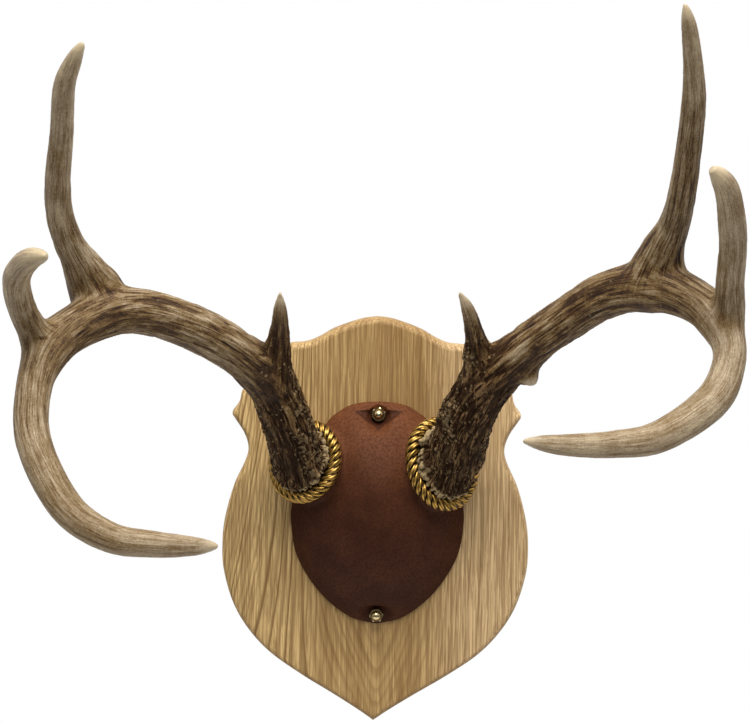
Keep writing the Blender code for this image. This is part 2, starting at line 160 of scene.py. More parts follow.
def fractal_noise(points: np.ndarray, octaves: int, seed: int = 0) -> np.ndarray:
    """Return noise of several sizes added together.

    Args:
        points: places in units of the largest cell.
        octaves: number of sizes.
        seed: number that picks the pattern.

    Returns:
        One number per point.
    """
    total = np.zeros(len(points))
    for octave in range(octaves):
        total += gradient_noise(points * 2 ** octave, seed + octave) / 2 ** octave
    return total


def cell_beads(points: np.ndarray, share: float, seed: int,
               loose: tuple[float, float, float] = (1.0, 1.0, 1.0)) -> np.ndarray:
    """Return the height, 0 to 1, of round beads strewn through space.

    Args:
        points: places in units of one cell.
        share: share of the cells that hold a bead.
        seed: number that picks the pattern.
        loose: how far the beads stray from the middle of their cells, each way.

    Returns:
        One height per point, 0 between the beads.
    """
    base = np.floor(points)
    best = np.zeros(len(points))
    for dx in (-1, 0, 1):
        for dy in (-1, 0, 1):
            for dz in (-1, 0, 1):
                cell = base + np.array([dx, dy, dz])
                h = hashed(cell, seed)
                stray = np.stack([(h & 255) / 255, (h >> 8 & 255) / 255,
                                  (h >> 16 & 255) / 255], axis=1) - 0.5
                spot = cell + 0.5 + stray * np.array(loose)
                h2 = hashed(cell, seed + 77)
                size = 0.40 + 0.34 * (h2 & 255) / 255
                there = (h2 >> 8 & 1023) / 1023 < share
                away = np.linalg.norm(points - spot, axis=1) / size
                bead = np.sqrt(np.clip(1 - away ** 2, 0, 1)) * size / 0.74
                best = np.maximum(best, np.where(there, bead, 0))
    return best


def smooth_step(low: float, high: float, value: np.ndarray) -> np.ndarray:
    """Return 0 below low and 1 above high with an eased rise between."""
    share = np.clip((value - low) / (high - low), 0, 1)
    return share * share * (3 - 2 * share)


# Mesh helpers


def curve_points(points: np.ndarray, count: int) -> np.ndarray:
    """Return count + 1 points evenly spaced along a smooth curve through the points.

    Args:
        points: rows whose first two or three columns are places.
        count: number of spans wanted.

    Returns:
        The rows along the curve, every column carried along.
    """
    keys = np.asarray(points, dtype=float)
    padded = np.vstack([2 * keys[0] - keys[1], keys, 2 * keys[-1] - keys[-2]])
    fine = []
    for i in range(len(keys) - 1):
        p0, p1, p2, p3 = padded[i:i + 4]
        for t in np.linspace(0.0, 1.0, 24, endpoint=False):
            fine.append(0.5 * (2 * p1 + (p2 - p0) * t + (2 * p0 - 5 * p1 + 4 * p2 - p3) * t ** 2
                               + (3 * p1 - p0 - 3 * p2 + p3) * t ** 3))
    fine.append(keys[-1])
    fine = np.array(fine)
    span = min(3, fine.shape[1])
    steps = np.linalg.norm(np.diff(fine[:, :span], axis=0), axis=1)
    run = np.concatenate([[0.0], np.cumsum(steps)])
    wanted = np.linspace(0.0, run[-1], count + 1)
    return np.stack([np.interp(wanted, run, fine[:, k]) for k in range(fine.shape[1])], axis=1)


def ring_faces(size: int, count: int, capped: bool = True) -> list[tuple[int, ...]]:
    """Return the faces that join equal rings of vertices.

    Args:
        size: vertices in each ring.
        count: number of rings.
        capped: whether flat faces close the two ends.

    Returns:
        Faces as tuples of vertex numbers.
    """
    faces: list[tuple[int, ...]] = []
    for j in range(count - 1):
        for i in range(size):
            a = j * size + i
            b = j * size + (i + 1) % size
            faces.append((a, b, b + size, a + size))
    if capped:
        faces.append(tuple(range(size - 1, -1, -1)))
        faces.append(tuple(range((count - 1) * size, count * size)))
    return faces


@contextmanager
def edited(mesh: bpy.types.Mesh) -> Iterator[bmesh.types.BMesh]:
    """Lend a mesh in its editable form and write it back.

    Args:
        mesh: the mesh to change.

    Yields:
        The editable form.
    """
    bm = bmesh.new()
    bm.from_mesh(mesh)
    yield bm
    bm.to_mesh(mesh)
    bm.free()


def linked(name: str, data: bpy.types.ID) -> bpy.types.Object:
    """Return a new object in the scene that shows the data.

    Args:
        name: the object's name.
        data: its mesh, lamp or camera.

    Returns:
        The new object.
    """
    obj = bpy.data.objects.new(name, data)
    bpy.context.scene.collection.objects.link(obj)
    return obj


def new_object(name: str, verts: list | np.ndarray,
               faces: list[tuple[int, ...]]) -> bpy.types.Object:
    """Return a linked mesh object with its faces turned outwards.

    Args:
        name: the object's name.
        verts: vertex places.
        faces: faces as tuples of vertex numbers.

    Returns:
        The new object.
    """
    mesh = bpy.data.meshes.new(name)
    mesh.from_pydata([tuple(v) for v in verts], [], faces)
    with edited(mesh) as bm:
        bmesh.ops.remove_doubles(bm, verts=bm.verts, dist=0.00002)
        bmesh.ops.recalc_face_normals(bm, faces=bm.faces)
    return linked(name, mesh)


def drop(obj: bpy.types.Object) -> None:
    """Remove a helper object."""
    bpy.data.objects.remove(obj, do_unlink=True)


def joined(name: str, parts: list[bpy.types.Object]) -> bpy.types.Object:
    """Return one mesh object made of helper objects, and drop them.

    Args:
        name: the object's name.
        parts: the helper objects.

    Returns:
        The new object.
    """
    mesh = bpy.data.meshes.new(name)
    with edited(mesh) as bm:
        for part in parts:
            bm.from_mesh(part.data)
    for part in parts:
        drop(part)
    return linked(name, mesh)


def baked(obj: bpy.types.Object) -> None:
    """Turn an object's modifiers into plain mesh.

    Args:
        obj: the object to change.
    """
    depsgraph = bpy.context.evaluated_depsgraph_get()
    depsgraph.update()
    mesh = bpy.data.meshes.new_from_object(obj.evaluated_get(depsgraph))
    obj.modifiers.clear()
    obj.data = mesh


def remeshed(obj: bpy.types.Object, voxel: float) -> None:
    """Fuse overlapping shells into one skin of even faces.

    Args:
        obj: the object to change.
        voxel: size of one face, in metres.
    """
    modifier = obj.modifiers.new("skin", "REMESH")
    modifier.mode = "VOXEL"
    modifier.voxel_size = voxel
    baked(obj)


def cut(obj: bpy.types.Object, others: list[bpy.types.Object], operation: str) -> None:
    """Apply exact Booleans of the other objects and drop them.

    Args:
        obj: the object to change.
        others: objects that cut it or are fused with it.
        operation: DIFFERENCE or UNION.
    """
    for other in others:
        modifier = obj.modifiers.new("cut", "BOOLEAN")
        modifier.operation = operation
        modifier.solver = "EXACT"
        modifier.object = other
    baked(obj)
    for other in others:
        drop(other)


def read_points(mesh: bpy.types.Mesh) -> np.ndarray:
    """Return the vertex places of a mesh.

    Args:
        mesh: the mesh to read.

    Returns:
        One row per vertex.
    """
    flat = np.empty(len(mesh.vertices) * 3)
    mesh.vertices.foreach_get("co", flat)
    return flat.reshape(-1, 3)


def write_points(mesh: bpy.types.Mesh, points: np.ndarray) -> None:
    """Set the vertex places of a mesh."""
    mesh.vertices.foreach_set("co", points.astype(np.float32).ravel())
    mesh.update()


def read_normals(mesh: bpy.types.Mesh) -> np.ndarray:
    """Return the vertex normals of a mesh.

    Args:
        mesh: the mesh to read.

    Returns:
        One row per vertex.
    """
    flat = np.empty(len(mesh.vertices) * 3, dtype=np.float32)
    mesh.vertex_normals.foreach_get("vector", flat)
    return flat.reshape(-1, 3).astype(float)


def read_edges(mesh: bpy.types.Mesh) -> np.ndarray:
    """Return the edges of a mesh as pairs of vertex numbers.

    Args:
        mesh: the mesh to read.

    Returns:
        One row per edge.
    """
    flat = np.empty(len(mesh.edges) * 2, dtype=np.int32)
    mesh.edges.foreach_get("vertices", flat)
    return flat.reshape(-1, 2)


def relaxed(points: np.ndarray, edges: np.ndarray, weight: np.ndarray, rounds: int) -> np.ndarray:
    """Return the points drawn towards the mean of their neighbours.

    Args:
        points: vertex places.
        edges: pairs of vertex numbers.
        weight: how far each vertex goes in one round, 0 to 1.
        rounds: number of rounds.

    Returns:
        The new places.
    """
    count = len(points)
    degree = np.maximum(1, np.bincount(edges.ravel(), minlength=count))
    for _ in range(rounds):
        total = np.empty_like(points)
        for k in range(3):
            total[:, k] = (np.bincount(edges[:, 0], points[edges[:, 1], k], count)
                           + np.bincount(edges[:, 1], points[edges[:, 0], k], count))
        points = points + (total / degree[:, None] - points) * weight[:, None]
    return points


def store(mesh: bpy.types.Mesh, name: str, values: np.ndarray) -> None:
    """Store one number or one vector per vertex as a named attribute.

    Args:
        mesh: the mesh to change.
        name: the attribute's name.
        values: one number or one row per vertex.
    """
    kind = "FLOAT" if values.ndim == 1 else "FLOAT_VECTOR"
    attribute = mesh.attributes.new(name, kind, "POINT")
    attribute.data.foreach_set("value" if values.ndim == 1 else "vector",
                               values.astype(np.float32).ravel())


def settle(obj: bpy.types.Object, node: str, material: bpy.types.Material) -> None:
    """Give a finished piece its material and put it in the frame in place of its CAD node.

    Args:
        obj: the finished piece.
        node: name of the CAD node that it replaces.
        material: the piece's finish.
    """
    obj.data.materials.clear()
    obj.data.materials.append(material)
    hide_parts(node)
    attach(obj, "root")
    LOG.info("%s: %d faces", obj.name, len(obj.data.polygons))


# Shader helpers


class Shading:
    """Short calls for building one shader or geometry node tree."""

    def __init__(self, tree: bpy.types.NodeTree) -> None:
        """Keep the tree that is being built."""
        self.tree = tree

    def node(self, kind: str, **settings: object) -> bpy.types.Node:
        """Add a node and set its plain settings.

        Args:
            kind: the node's type.
            settings: names and values of its settings.

        Returns:
            The node.
        """
        made = self.tree.nodes.new(kind)
        for name, value in settings.items():
            setattr(made, name, value)
        return made

    def feed(self, socket: bpy.types.NodeSocket, value: object) -> None:
        """Link a socket to another, or set its value.

        Args:
            socket: the input.
            value: the socket or the value that it takes.
        """
        if isinstance(value, bpy.types.NodeSocket):
            self.tree.links.new(value, socket)
        else:
            socket.default_value = value

    def math(self, operation: str, *values: object, clamp: bool = False) -> bpy.types.NodeSocket:
        """Return the result of a number operation.

        Args:
            operation: name of the operation.
            values: numbers or sockets.
            clamp: whether the result is held between 0 and 1.

        Returns:
            The socket that gives it.
        """
        made = self.node("ShaderNodeMath", operation=operation, use_clamp=clamp)
        for socket, value in zip(made.inputs, values):
            self.feed(socket, value)
        return made.outputs[0]

    def times(self, a: object, b: object, clamp: bool = False) -> bpy.types.NodeSocket:
        """Return the product of two numbers."""
        return self.math("MULTIPLY", a, b, clamp=clamp)

    def minus(self, a: object, b: object) -> bpy.types.NodeSocket:
        """Return the first number less the second."""
        return self.math("SUBTRACT", a, b)

    def added(self, a: object, share: object, total: object,
              clamp: bool = False) -> bpy.types.NodeSocket:
        """Return a total with a share of a number added to it."""
        return self.math("MULTIPLY_ADD", a, share, total, clamp=clamp)

    def axes(self, place: object) -> bpy.types.bpy_prop_collection:
        """Return a vector's parts, named X, Y and Z.

        Args:
            place: the vector.

        Returns:
            The sockets of the parts.
        """
        made = self.node("ShaderNodeSeparateXYZ")
        self.feed(made.inputs[0], place)
        return made.outputs

    def place(self, kind: str = "Object") -> bpy.types.NodeSocket:
        """Return the place or the normal at a point of the piece."""
        return self.node("ShaderNodeTexCoord").outputs[kind]

    def vector(self, operation: str, *values: object) -> bpy.types.NodeSocket:
        """Return the vector result of a vector operation.

        Args:
            operation: name of the operation.
            values: vectors or sockets.

        Returns:
            The socket that gives it.
        """
        made = self.node("ShaderNodeVectorMath", operation=operation)
        for socket, value in zip(made.inputs, values):
            self.feed(socket, value)
        return made.outputs["Vector"]

    def length(self, value: object) -> bpy.types.NodeSocket:
        """Return the length of a vector.

        Args:
            value: the vector.

        Returns:
            The socket that gives it.
        """
        made = self.node("ShaderNodeVectorMath", operation="LENGTH")
        self.feed(made.inputs[0], value)
        return made.outputs["Value"]

    def mix(self, share: object, a: object, b: object) -> bpy.types.NodeSocket:
        """Return two colours mixed by a share.

        Args:
            share: share of the second colour.
            a: the first colour.
            b: the second colour.

        Returns:
            The socket that gives it.
        """
        made = self.node("ShaderNodeMix", data_type="RGBA")
        self.feed(made.inputs["Factor"], share)
        self.feed(made.inputs[6], rgba(a))
        self.feed(made.inputs[7], rgba(b))
        return made.outputs[2]

    def stained(self, tint: object,
                layers: tuple[tuple[object, object, Colour], ...]) -> bpy.types.NodeSocket:
        """Return a colour with others laid over it in turn.

        Args:
            tint: the colour below.
            layers: cover, strength and colour of each layer, the lowest first.

        Returns:
            The colour on top.
        """
        for cover, strength, colour in layers:
            tint = self.mix(self.times(cover, strength), tint, colour)
        return tint

    def blend(self, share: object, a: object, b: object) -> bpy.types.NodeSocket:
        """Return two numbers mixed by a share.

        Args:
            share: share of the second number.
            a: the first number.
            b: the second number.

        Returns:
            The socket that gives it.
        """
        made = self.node("ShaderNodeMix", data_type="FLOAT")
        self.feed(made.inputs[0], share)
        self.feed(made.inputs[2], a)
        self.feed(made.inputs[3], b)
        return made.outputs[0]

    def noise(self, place: object, scale: float, detail: float = 2.0,
              rough: float = 0.5) -> bpy.types.NodeSocket:
        """Return noise between 0 and 1 at a place.

        Args:
            place: where the noise is read.
            scale: how often it changes.
            detail: number of finer sizes.
            rough: strength of the finer sizes.

        Returns:
            The socket that gives it.
        """
        made = self.node("ShaderNodeTexNoise")
        self.feed(made.inputs["Vector"], place)
        self.feed(made.inputs["Scale"], scale)
        self.feed(made.inputs["Detail"], detail)
        self.feed(made.inputs["Roughness"], rough)
        return made.outputs["Fac"]

    def remap(self, value: object, low: object, high: object, to_low: object = 0.0,
              to_high: object = 1.0) -> bpy.types.NodeSocket:
        """Return a number moved smoothly from one range to another.

        Args:
            value: the number.
            low: start of its range.
            high: end of its range.
            to_low: result at the start.
            to_high: result at the end.

        Returns:
            The socket that gives it.
        """
        made = self.node("ShaderNodeMapRange", interpolation_type="SMOOTHSTEP")
        for name, item in (("Value", value), ("From Min", low), ("From Max", high),
                           ("To Min", to_low), ("To Max", to_high)):
            self.feed(made.inputs[name], item)
        return made.outputs["Result"]

    def ramp(self, value: object, stops: tuple[tuple[float, Colour], ...]) -> bpy.types.NodeSocket:
        """Return the colour of a ramp at a value.

        Args:
            value: place on the ramp, 0 to 1.
            stops: places and colours.

        Returns:
            The socket that gives it.
        """
        made = self.node("ShaderNodeValToRGB")
        elements = made.color_ramp.elements
        while len(elements) < len(stops):
            elements.new(0.5)
        for element, (place, colour) in zip(elements, stops):
            element.position = place
            element.color = rgba(colour)
        self.feed(made.inputs["Fac"], value)
        return made.outputs["Color"]

    def group(self, tree: bpy.types.NodeTree, **values: object) -> bpy.types.NodeSocket:
        """Return the result of a shader group.

        Args:
            tree: the group.
            values: names and values of its inputs.

        Returns:
            The socket that gives it.
        """
        made = self.node("ShaderNodeGroup", node_tree=tree)
        for name, value in values.items():
            self.feed(made.inputs[name], value)
        return made.outputs[0]

    def attribute(self, name: str, output: str = "Fac") -> bpy.types.NodeSocket:
        """Return a value stored on the mesh."""
        return self.node("ShaderNodeAttribute", attribute_name=name).outputs[output]

    def bump(self, height: object, strength: float, distance: float,
             below: object = None) -> bpy.types.NodeSocket:
        """Return a normal roughened by a height in metres.

        Args:
            height: the height.
            strength: share of the full effect.
            distance: height that 1 stands for, in metres.
            below: normal that is roughened further.

        Returns:
            The socket that gives it.
        """
        made = self.node("ShaderNodeBump")
        made.inputs["Strength"].default_value = strength
        made.inputs["Distance"].default_value = distance
        self.feed(made.inputs["Height"], height)
        if below is not None:
            self.feed(made.inputs["Normal"], below)
        return made.outputs["Normal"]


def rgba(colour: object) -> object:
    """Return a colour with full cover; sockets are passed on.

    Args:
        colour: a colour or a socket.

    Returns:
        Four numbers, or the socket.
    """
    if isinstance(colour, tuple) and len(colour) == 3:
        return (*colour, 1.0)
    return colour


def new_material(name: str) -> tuple[bpy.types.Material, Shading, bpy.types.Node]:
    """Return a new material, its shading helper and its Principled shader.

    Args:
        name: the material's name.

    Returns:
        The material, the helper and the shader.
    """
    material = bpy.data.materials.new(name)
    material.use_nodes = True
    shading = Shading(material.node_tree)
    return material, shading, material.node_tree.nodes["Principled BSDF"]


def new_group(name: str, inputs: tuple[tuple[str, str, object], ...],
              outputs: tuple[str, ...]) -> tuple[Shading, bpy.types.Node, bpy.types.Node]:
    """Return the helper, input node and output node of a new shader group.

    Args:
        name: the group's name.
        inputs: name, socket type and default of each input.
        outputs: names of the number outputs.

    Returns:
        The helper, the group's input node and its output node.
    """
    tree = bpy.data.node_groups.new(name, "ShaderNodeTree")
    for title, kind, default in inputs:
        socket = tree.interface.new_socket(title, in_out="INPUT", socket_type=kind)
        if default is not None:
            socket.default_value = default
    for title in outputs:
        tree.interface.new_socket(title, in_out="OUTPUT", socket_type="NodeSocketFloat")
    shading = Shading(tree)
    return shading, shading.node("NodeGroupInput"), shading.node("NodeGroupOutput")


def grain_group() -> bpy.types.NodeTree:
    """Return the group that draws long fibres: noise stretched along a direction.

    Returns:
        The group.
    """
    s, start, end = new_group(
        "Long Fibres",
        (("Place", "NodeSocketVector", None), ("Stretch", "NodeSocketVector", (1.0, 1.0, 1.0)),
         ("Wander", "NodeSocketFloat", 0.4), ("Low", "NodeSocketFloat", 0.35),
         ("High", "NodeSocketFloat", 0.65)),
        ("Fibre",))
    place = s.vector("MULTIPLY", start.outputs["Place"], start.outputs["Stretch"])
    drift = s.noise(place, 0.35, 1.0)
    drift = s.times(s.minus(drift, 0.5), start.outputs["Wander"])
    shift = s.node("ShaderNodeCombineXYZ")
    for k in (0, 1, 2):
        s.feed(shift.inputs[k], drift)
    moved = s.vector("ADD", place, shift.outputs[0])
    fibre = s.noise(moved, 1.0, 3.0, 0.6)
    s.feed(end.inputs["Fibre"], s.remap(fibre, start.outputs["Low"], start.outputs["High"]))
    return s.tree


def mottle_group() -> bpy.types.NodeTree:
    """Return the group that draws soft uneven patches of one size.

    Returns:
        The group.
    """
    s, start, end = new_group(
        "Soft Mottle",
        (("Place", "NodeSocketVector", None), ("Scale", "NodeSocketFloat", 100.0),
         ("Low", "NodeSocketFloat", 0.35), ("High", "NodeSocketFloat", 0.65)),
        ("Patch",))
    noise = s.noise(start.outputs["Place"], start.outputs["Scale"], 4.0)
    s.feed(end.inputs["Patch"], s.remap(noise, start.outputs["Low"], start.outputs["High"]))
    return s.tree


@dataclass(frozen=True)
class Effects:
    """Shader groups that more than one finish uses."""

    grain: bpy.types.NodeTree
    mottle: bpy.types.NodeTree

    @classmethod
    def make(cls) -> Effects:
        """Build the groups."""
        return cls(grain_group(), mottle_group())


# Finishes


@dataclass(frozen=True)
class OakFinish:
    """Clear oiled oak with growth rings, pores and fine fibres, with painted shade on its
    down-facing edges.
    """

    pale: Colour = (0.530, 0.345, 0.138)
    middle: Colour = (0.370, 0.222, 0.080)
    dark: Colour = (0.180, 0.090, 0.024)
    blush: Colour = (0.780, 0.545, 0.285)
    glint: Colour = (0.740, 0.510, 0.220)
    ring_step: float = 0.0042
    heart_x: float = 0.002
    arch_slope: float = 0.27
    arch_reach: float = 0.052
    arch_drop: float = 0.02
    heart_radius: float = 0.006
    crowding: float = 0.0110
    roughness: float = 0.60
    shine: float = 0.30

    def rings(self, s: Shading, place: object) -> bpy.types.NodeSocket:
        """Return how much early wood shows at a place, 0 to 1.

        Args:
            s: helper of the material's tree.
            place: place on the board, in metres.

        Returns:
            The share of early wood, ring by ring stronger or weaker.
        """
        axes = s.axes(place)
        lean = s.remap(axes["X"], -0.03, -0.13, 0.0, -0.20)
        across = s.minus(axes["X"], self.heart_x)
        across = s.added(lean, axes["Z"], across)
        squares = s.times(across, across)
        fade = s.math("EXPONENT", s.times(squares, -1.0 / self.arch_reach ** 2))
        sunk = s.math("MINIMUM", s.math("ADD", axes["Z"], self.arch_drop), 0.0)
        arch = s.times(s.times(sunk, fade), self.arch_slope)
        reach = s.math("SQRT", s.math("ADD", squares, self.heart_radius ** 2))
        depth = s.times(axes["Y"], 0.5)
        radius = s.math("ADD", s.minus(reach, arch), depth)
        spread = s.node("ShaderNodeCombineXYZ")
        s.feed(spread.inputs[0], s.times(radius, 75.0))
        s.feed(spread.inputs[2], s.times(axes["Z"], 1.5))
        crowd = s.minus(s.noise(spread.outputs[0], 1.0), 0.5)
        radius = s.added(crowd, self.crowding, radius)
        count = s.math("DIVIDE", radius, self.ring_step)
        ring = s.math("FRACT", count)
        year = s.node("ShaderNodeTexWhiteNoise", noise_dimensions="1D")
        s.feed(year.inputs["W"], s.math("FLOOR", count))
        strength = s.added(year.outputs["Value"], 0.75, 0.25)
        band = s.times(s.remap(ring, 0.0, 0.16), s.remap(ring, 0.68, 0.18))
        return s.times(band, strength)

    def material(self, effects: Effects) -> bpy.types.Material:
        """Return the oak's material.

        Args:
            effects: the shared shader groups.

        Returns:
            The material.
        """
        material, s, shader = new_material("oak_grain")
        place = s.place()

        def wobble(stretch: float, scale: float, reach: float) -> bpy.types.NodeSocket:
            """Return a shift across the board that changes from place to place.

            Args:
                stretch: how much slower it changes up the board than across, as a share.
                scale: how often it changes.
                reach: how far it goes, in metres.

            Returns:
                The shift.
            """
            noise = s.node("ShaderNodeTexNoise")
            s.feed(noise.inputs["Vector"], s.vector("MULTIPLY", place, (1.0, 1.0, stretch)))
            s.feed(noise.inputs["Scale"], scale)
            s.feed(noise.inputs["Detail"], 2.0)
            shift = s.vector("SUBTRACT", noise.outputs["Color"], (0.5, 0.5, 0.5))
            return s.vector("MULTIPLY", shift, (reach, reach, 0.0))

        drift = wobble(0.35, 11.0, 0.012)
        ripple = wobble(0.16, 150.0, 0.0018)
        warped = s.vector("ADD", s.vector("ADD", place, drift), ripple)
        early = self.rings(s, warped)

        def fibres(across: float, along: float, low: float, high: float) -> bpy.types.NodeSocket:
            """Return fibres of one fineness up the board.

            Args:
                across: how often they change across the board.
                along: how often they change up the board.
                low: noise at which a fibre starts.
                high: noise at which it is full.

            Returns:
                The fibres' cover, 0 to 1.
            """
            return s.group(effects.grain, Place=warped, Stretch=(across, across, along),
                           Wander=0.8, Low=low, High=high)

        coarse = fibres(420.0, 8.0, 0.42, 0.62)
        fine = fibres(900.0, 14.0, 0.45, 0.57)
        gleam = fibres(560.0, 9.0, 0.52, 0.72)
        pores = fibres(1500.0, 60.0, 0.50, 0.68)
        broad = fibres(70.0, 3.0, 0.34, 0.66)
        axes = s.axes(place)
        right = s.remap(axes["X"], 0.030, 0.085)
        left = s.remap(axes["X"], -0.030, -0.075)
        uneven = s.group(effects.mottle, Place=place, Scale=14.0, Low=0.35, High=0.66)
        force = s.added(uneven, 0.34, 0.38)
        force = s.added(left, 0.50, force)
        force = s.added(right, -0.04, force)
        bright = s.added(left, 0.20, 0.50)
        # Painted shade: faces that turn downwards, such as the underside of the routed edge, are
        # darkened as if in shadow.
        painted_underside_shade = s.remap(s.axes(s.place("Normal"))["Z"], -0.10, -0.60)
        tint = s.stained(s.mix(broad, self.pale, self.middle), (
            (right, 0.85, self.blush), (left, 0.75, self.glint), (gleam, bright, self.glint),
            (early, force, self.dark), (coarse, 0.40, self.dark), (fine, 0.50, self.dark),
            (painted_underside_shade, 0.50, self.dark), (pores, 0.20, self.dark)))
        s.feed(shader.inputs["Base Color"], tint)
        shader.inputs["Roughness"].default_value = self.roughness
        shader.inputs["Specular IOR Level"].default_value = self.shine
        dents = s.math("ADD", s.times(pores, -0.6), s.times(early, -0.4))
        s.feed(shader.inputs["Normal"], s.bump(dents, 0.30, 0.00010))
        return material


@dataclass(frozen=True)
class LeatherFinish:
    """Brown moulded leather with a fine grain and a satin skin, painted lighter towards the top as
    if lit from above and painted dark in the wedge at the top bolt as if shaded.
    """

    # The lighter colour is the painted lit top and the darker one the painted shade lower down; the
    # mottle also moves between them.
    light: Colour = (0.142, 0.047, 0.0165)
    dark: Colour = (0.043, 0.0125, 0.0052)
    deep: Colour = (0.0215, 0.00625, 0.0026)
    roughness: float = 0.62
    shine: float = 0.10

    def material(self, effects: Effects) -> bpy.types.Material:
        """Return the leather's material.

        Args:
            effects: the shared shader groups.

        Returns:
            The material.
        """
        material, s, shader = new_material("moulded_leather")
        place = s.place()
        patch = s.group(effects.mottle, Place=place, Scale=38.0, Low=0.3, High=0.7)
        speck = s.group(effects.mottle, Place=place, Scale=480.0, Low=0.38, High=0.66)
        axes = s.axes(place)
        # Painted light: the leather is painted lighter towards the top, as if lit from above, and
        # darker lower down.
        painted_top_light = s.remap(axes["Z"], 0.020, 0.100)
        share = s.added(patch, 0.22, s.times(painted_top_light, 0.78))
        # Painted shade: the wedge pressed in at the top bolt is darkened as if shadowed by the
        # leather above it.
        side = s.math("ABSOLUTE", s.minus(axes["X"], BOLT_X))
        inside = s.minus(axes["Z"], s.times(side, WEDGE_SLOPE))
        inside = s.remap(inside, WEDGE_FOOT - 0.0010, WEDGE_FOOT + 0.0012)
        above = s.times(s.times(side, side), WEDGE_BOW)
        above = s.math("ADD", axes["Z"], above)
        wedge = s.times(inside, s.remap(above, WEDGE_TOP, WEDGE_TOP - 0.0006))
        tint = s.stained(s.mix(share, self.dark, self.light),
                         ((wedge, 0.85, self.dark), (speck, 0.42, self.deep)))
        s.feed(shader.inputs["Base Color"], tint)
        s.feed(shader.inputs["Roughness"], s.added(speck, 0.12, self.roughness))
        shader.inputs["Specular IOR Level"].default_value = self.shine
        pebble = s.node("ShaderNodeTexVoronoi", feature="SMOOTH_F1")
        s.feed(pebble.inputs["Vector"], place)
        pebble.inputs["Scale"].default_value = 900.0
        fine = s.bump(pebble.outputs["Distance"], 0.30, 0.00015)
        s.feed(shader.inputs["Normal"], s.bump(patch, 0.10, 0.0010, fine))
        return material


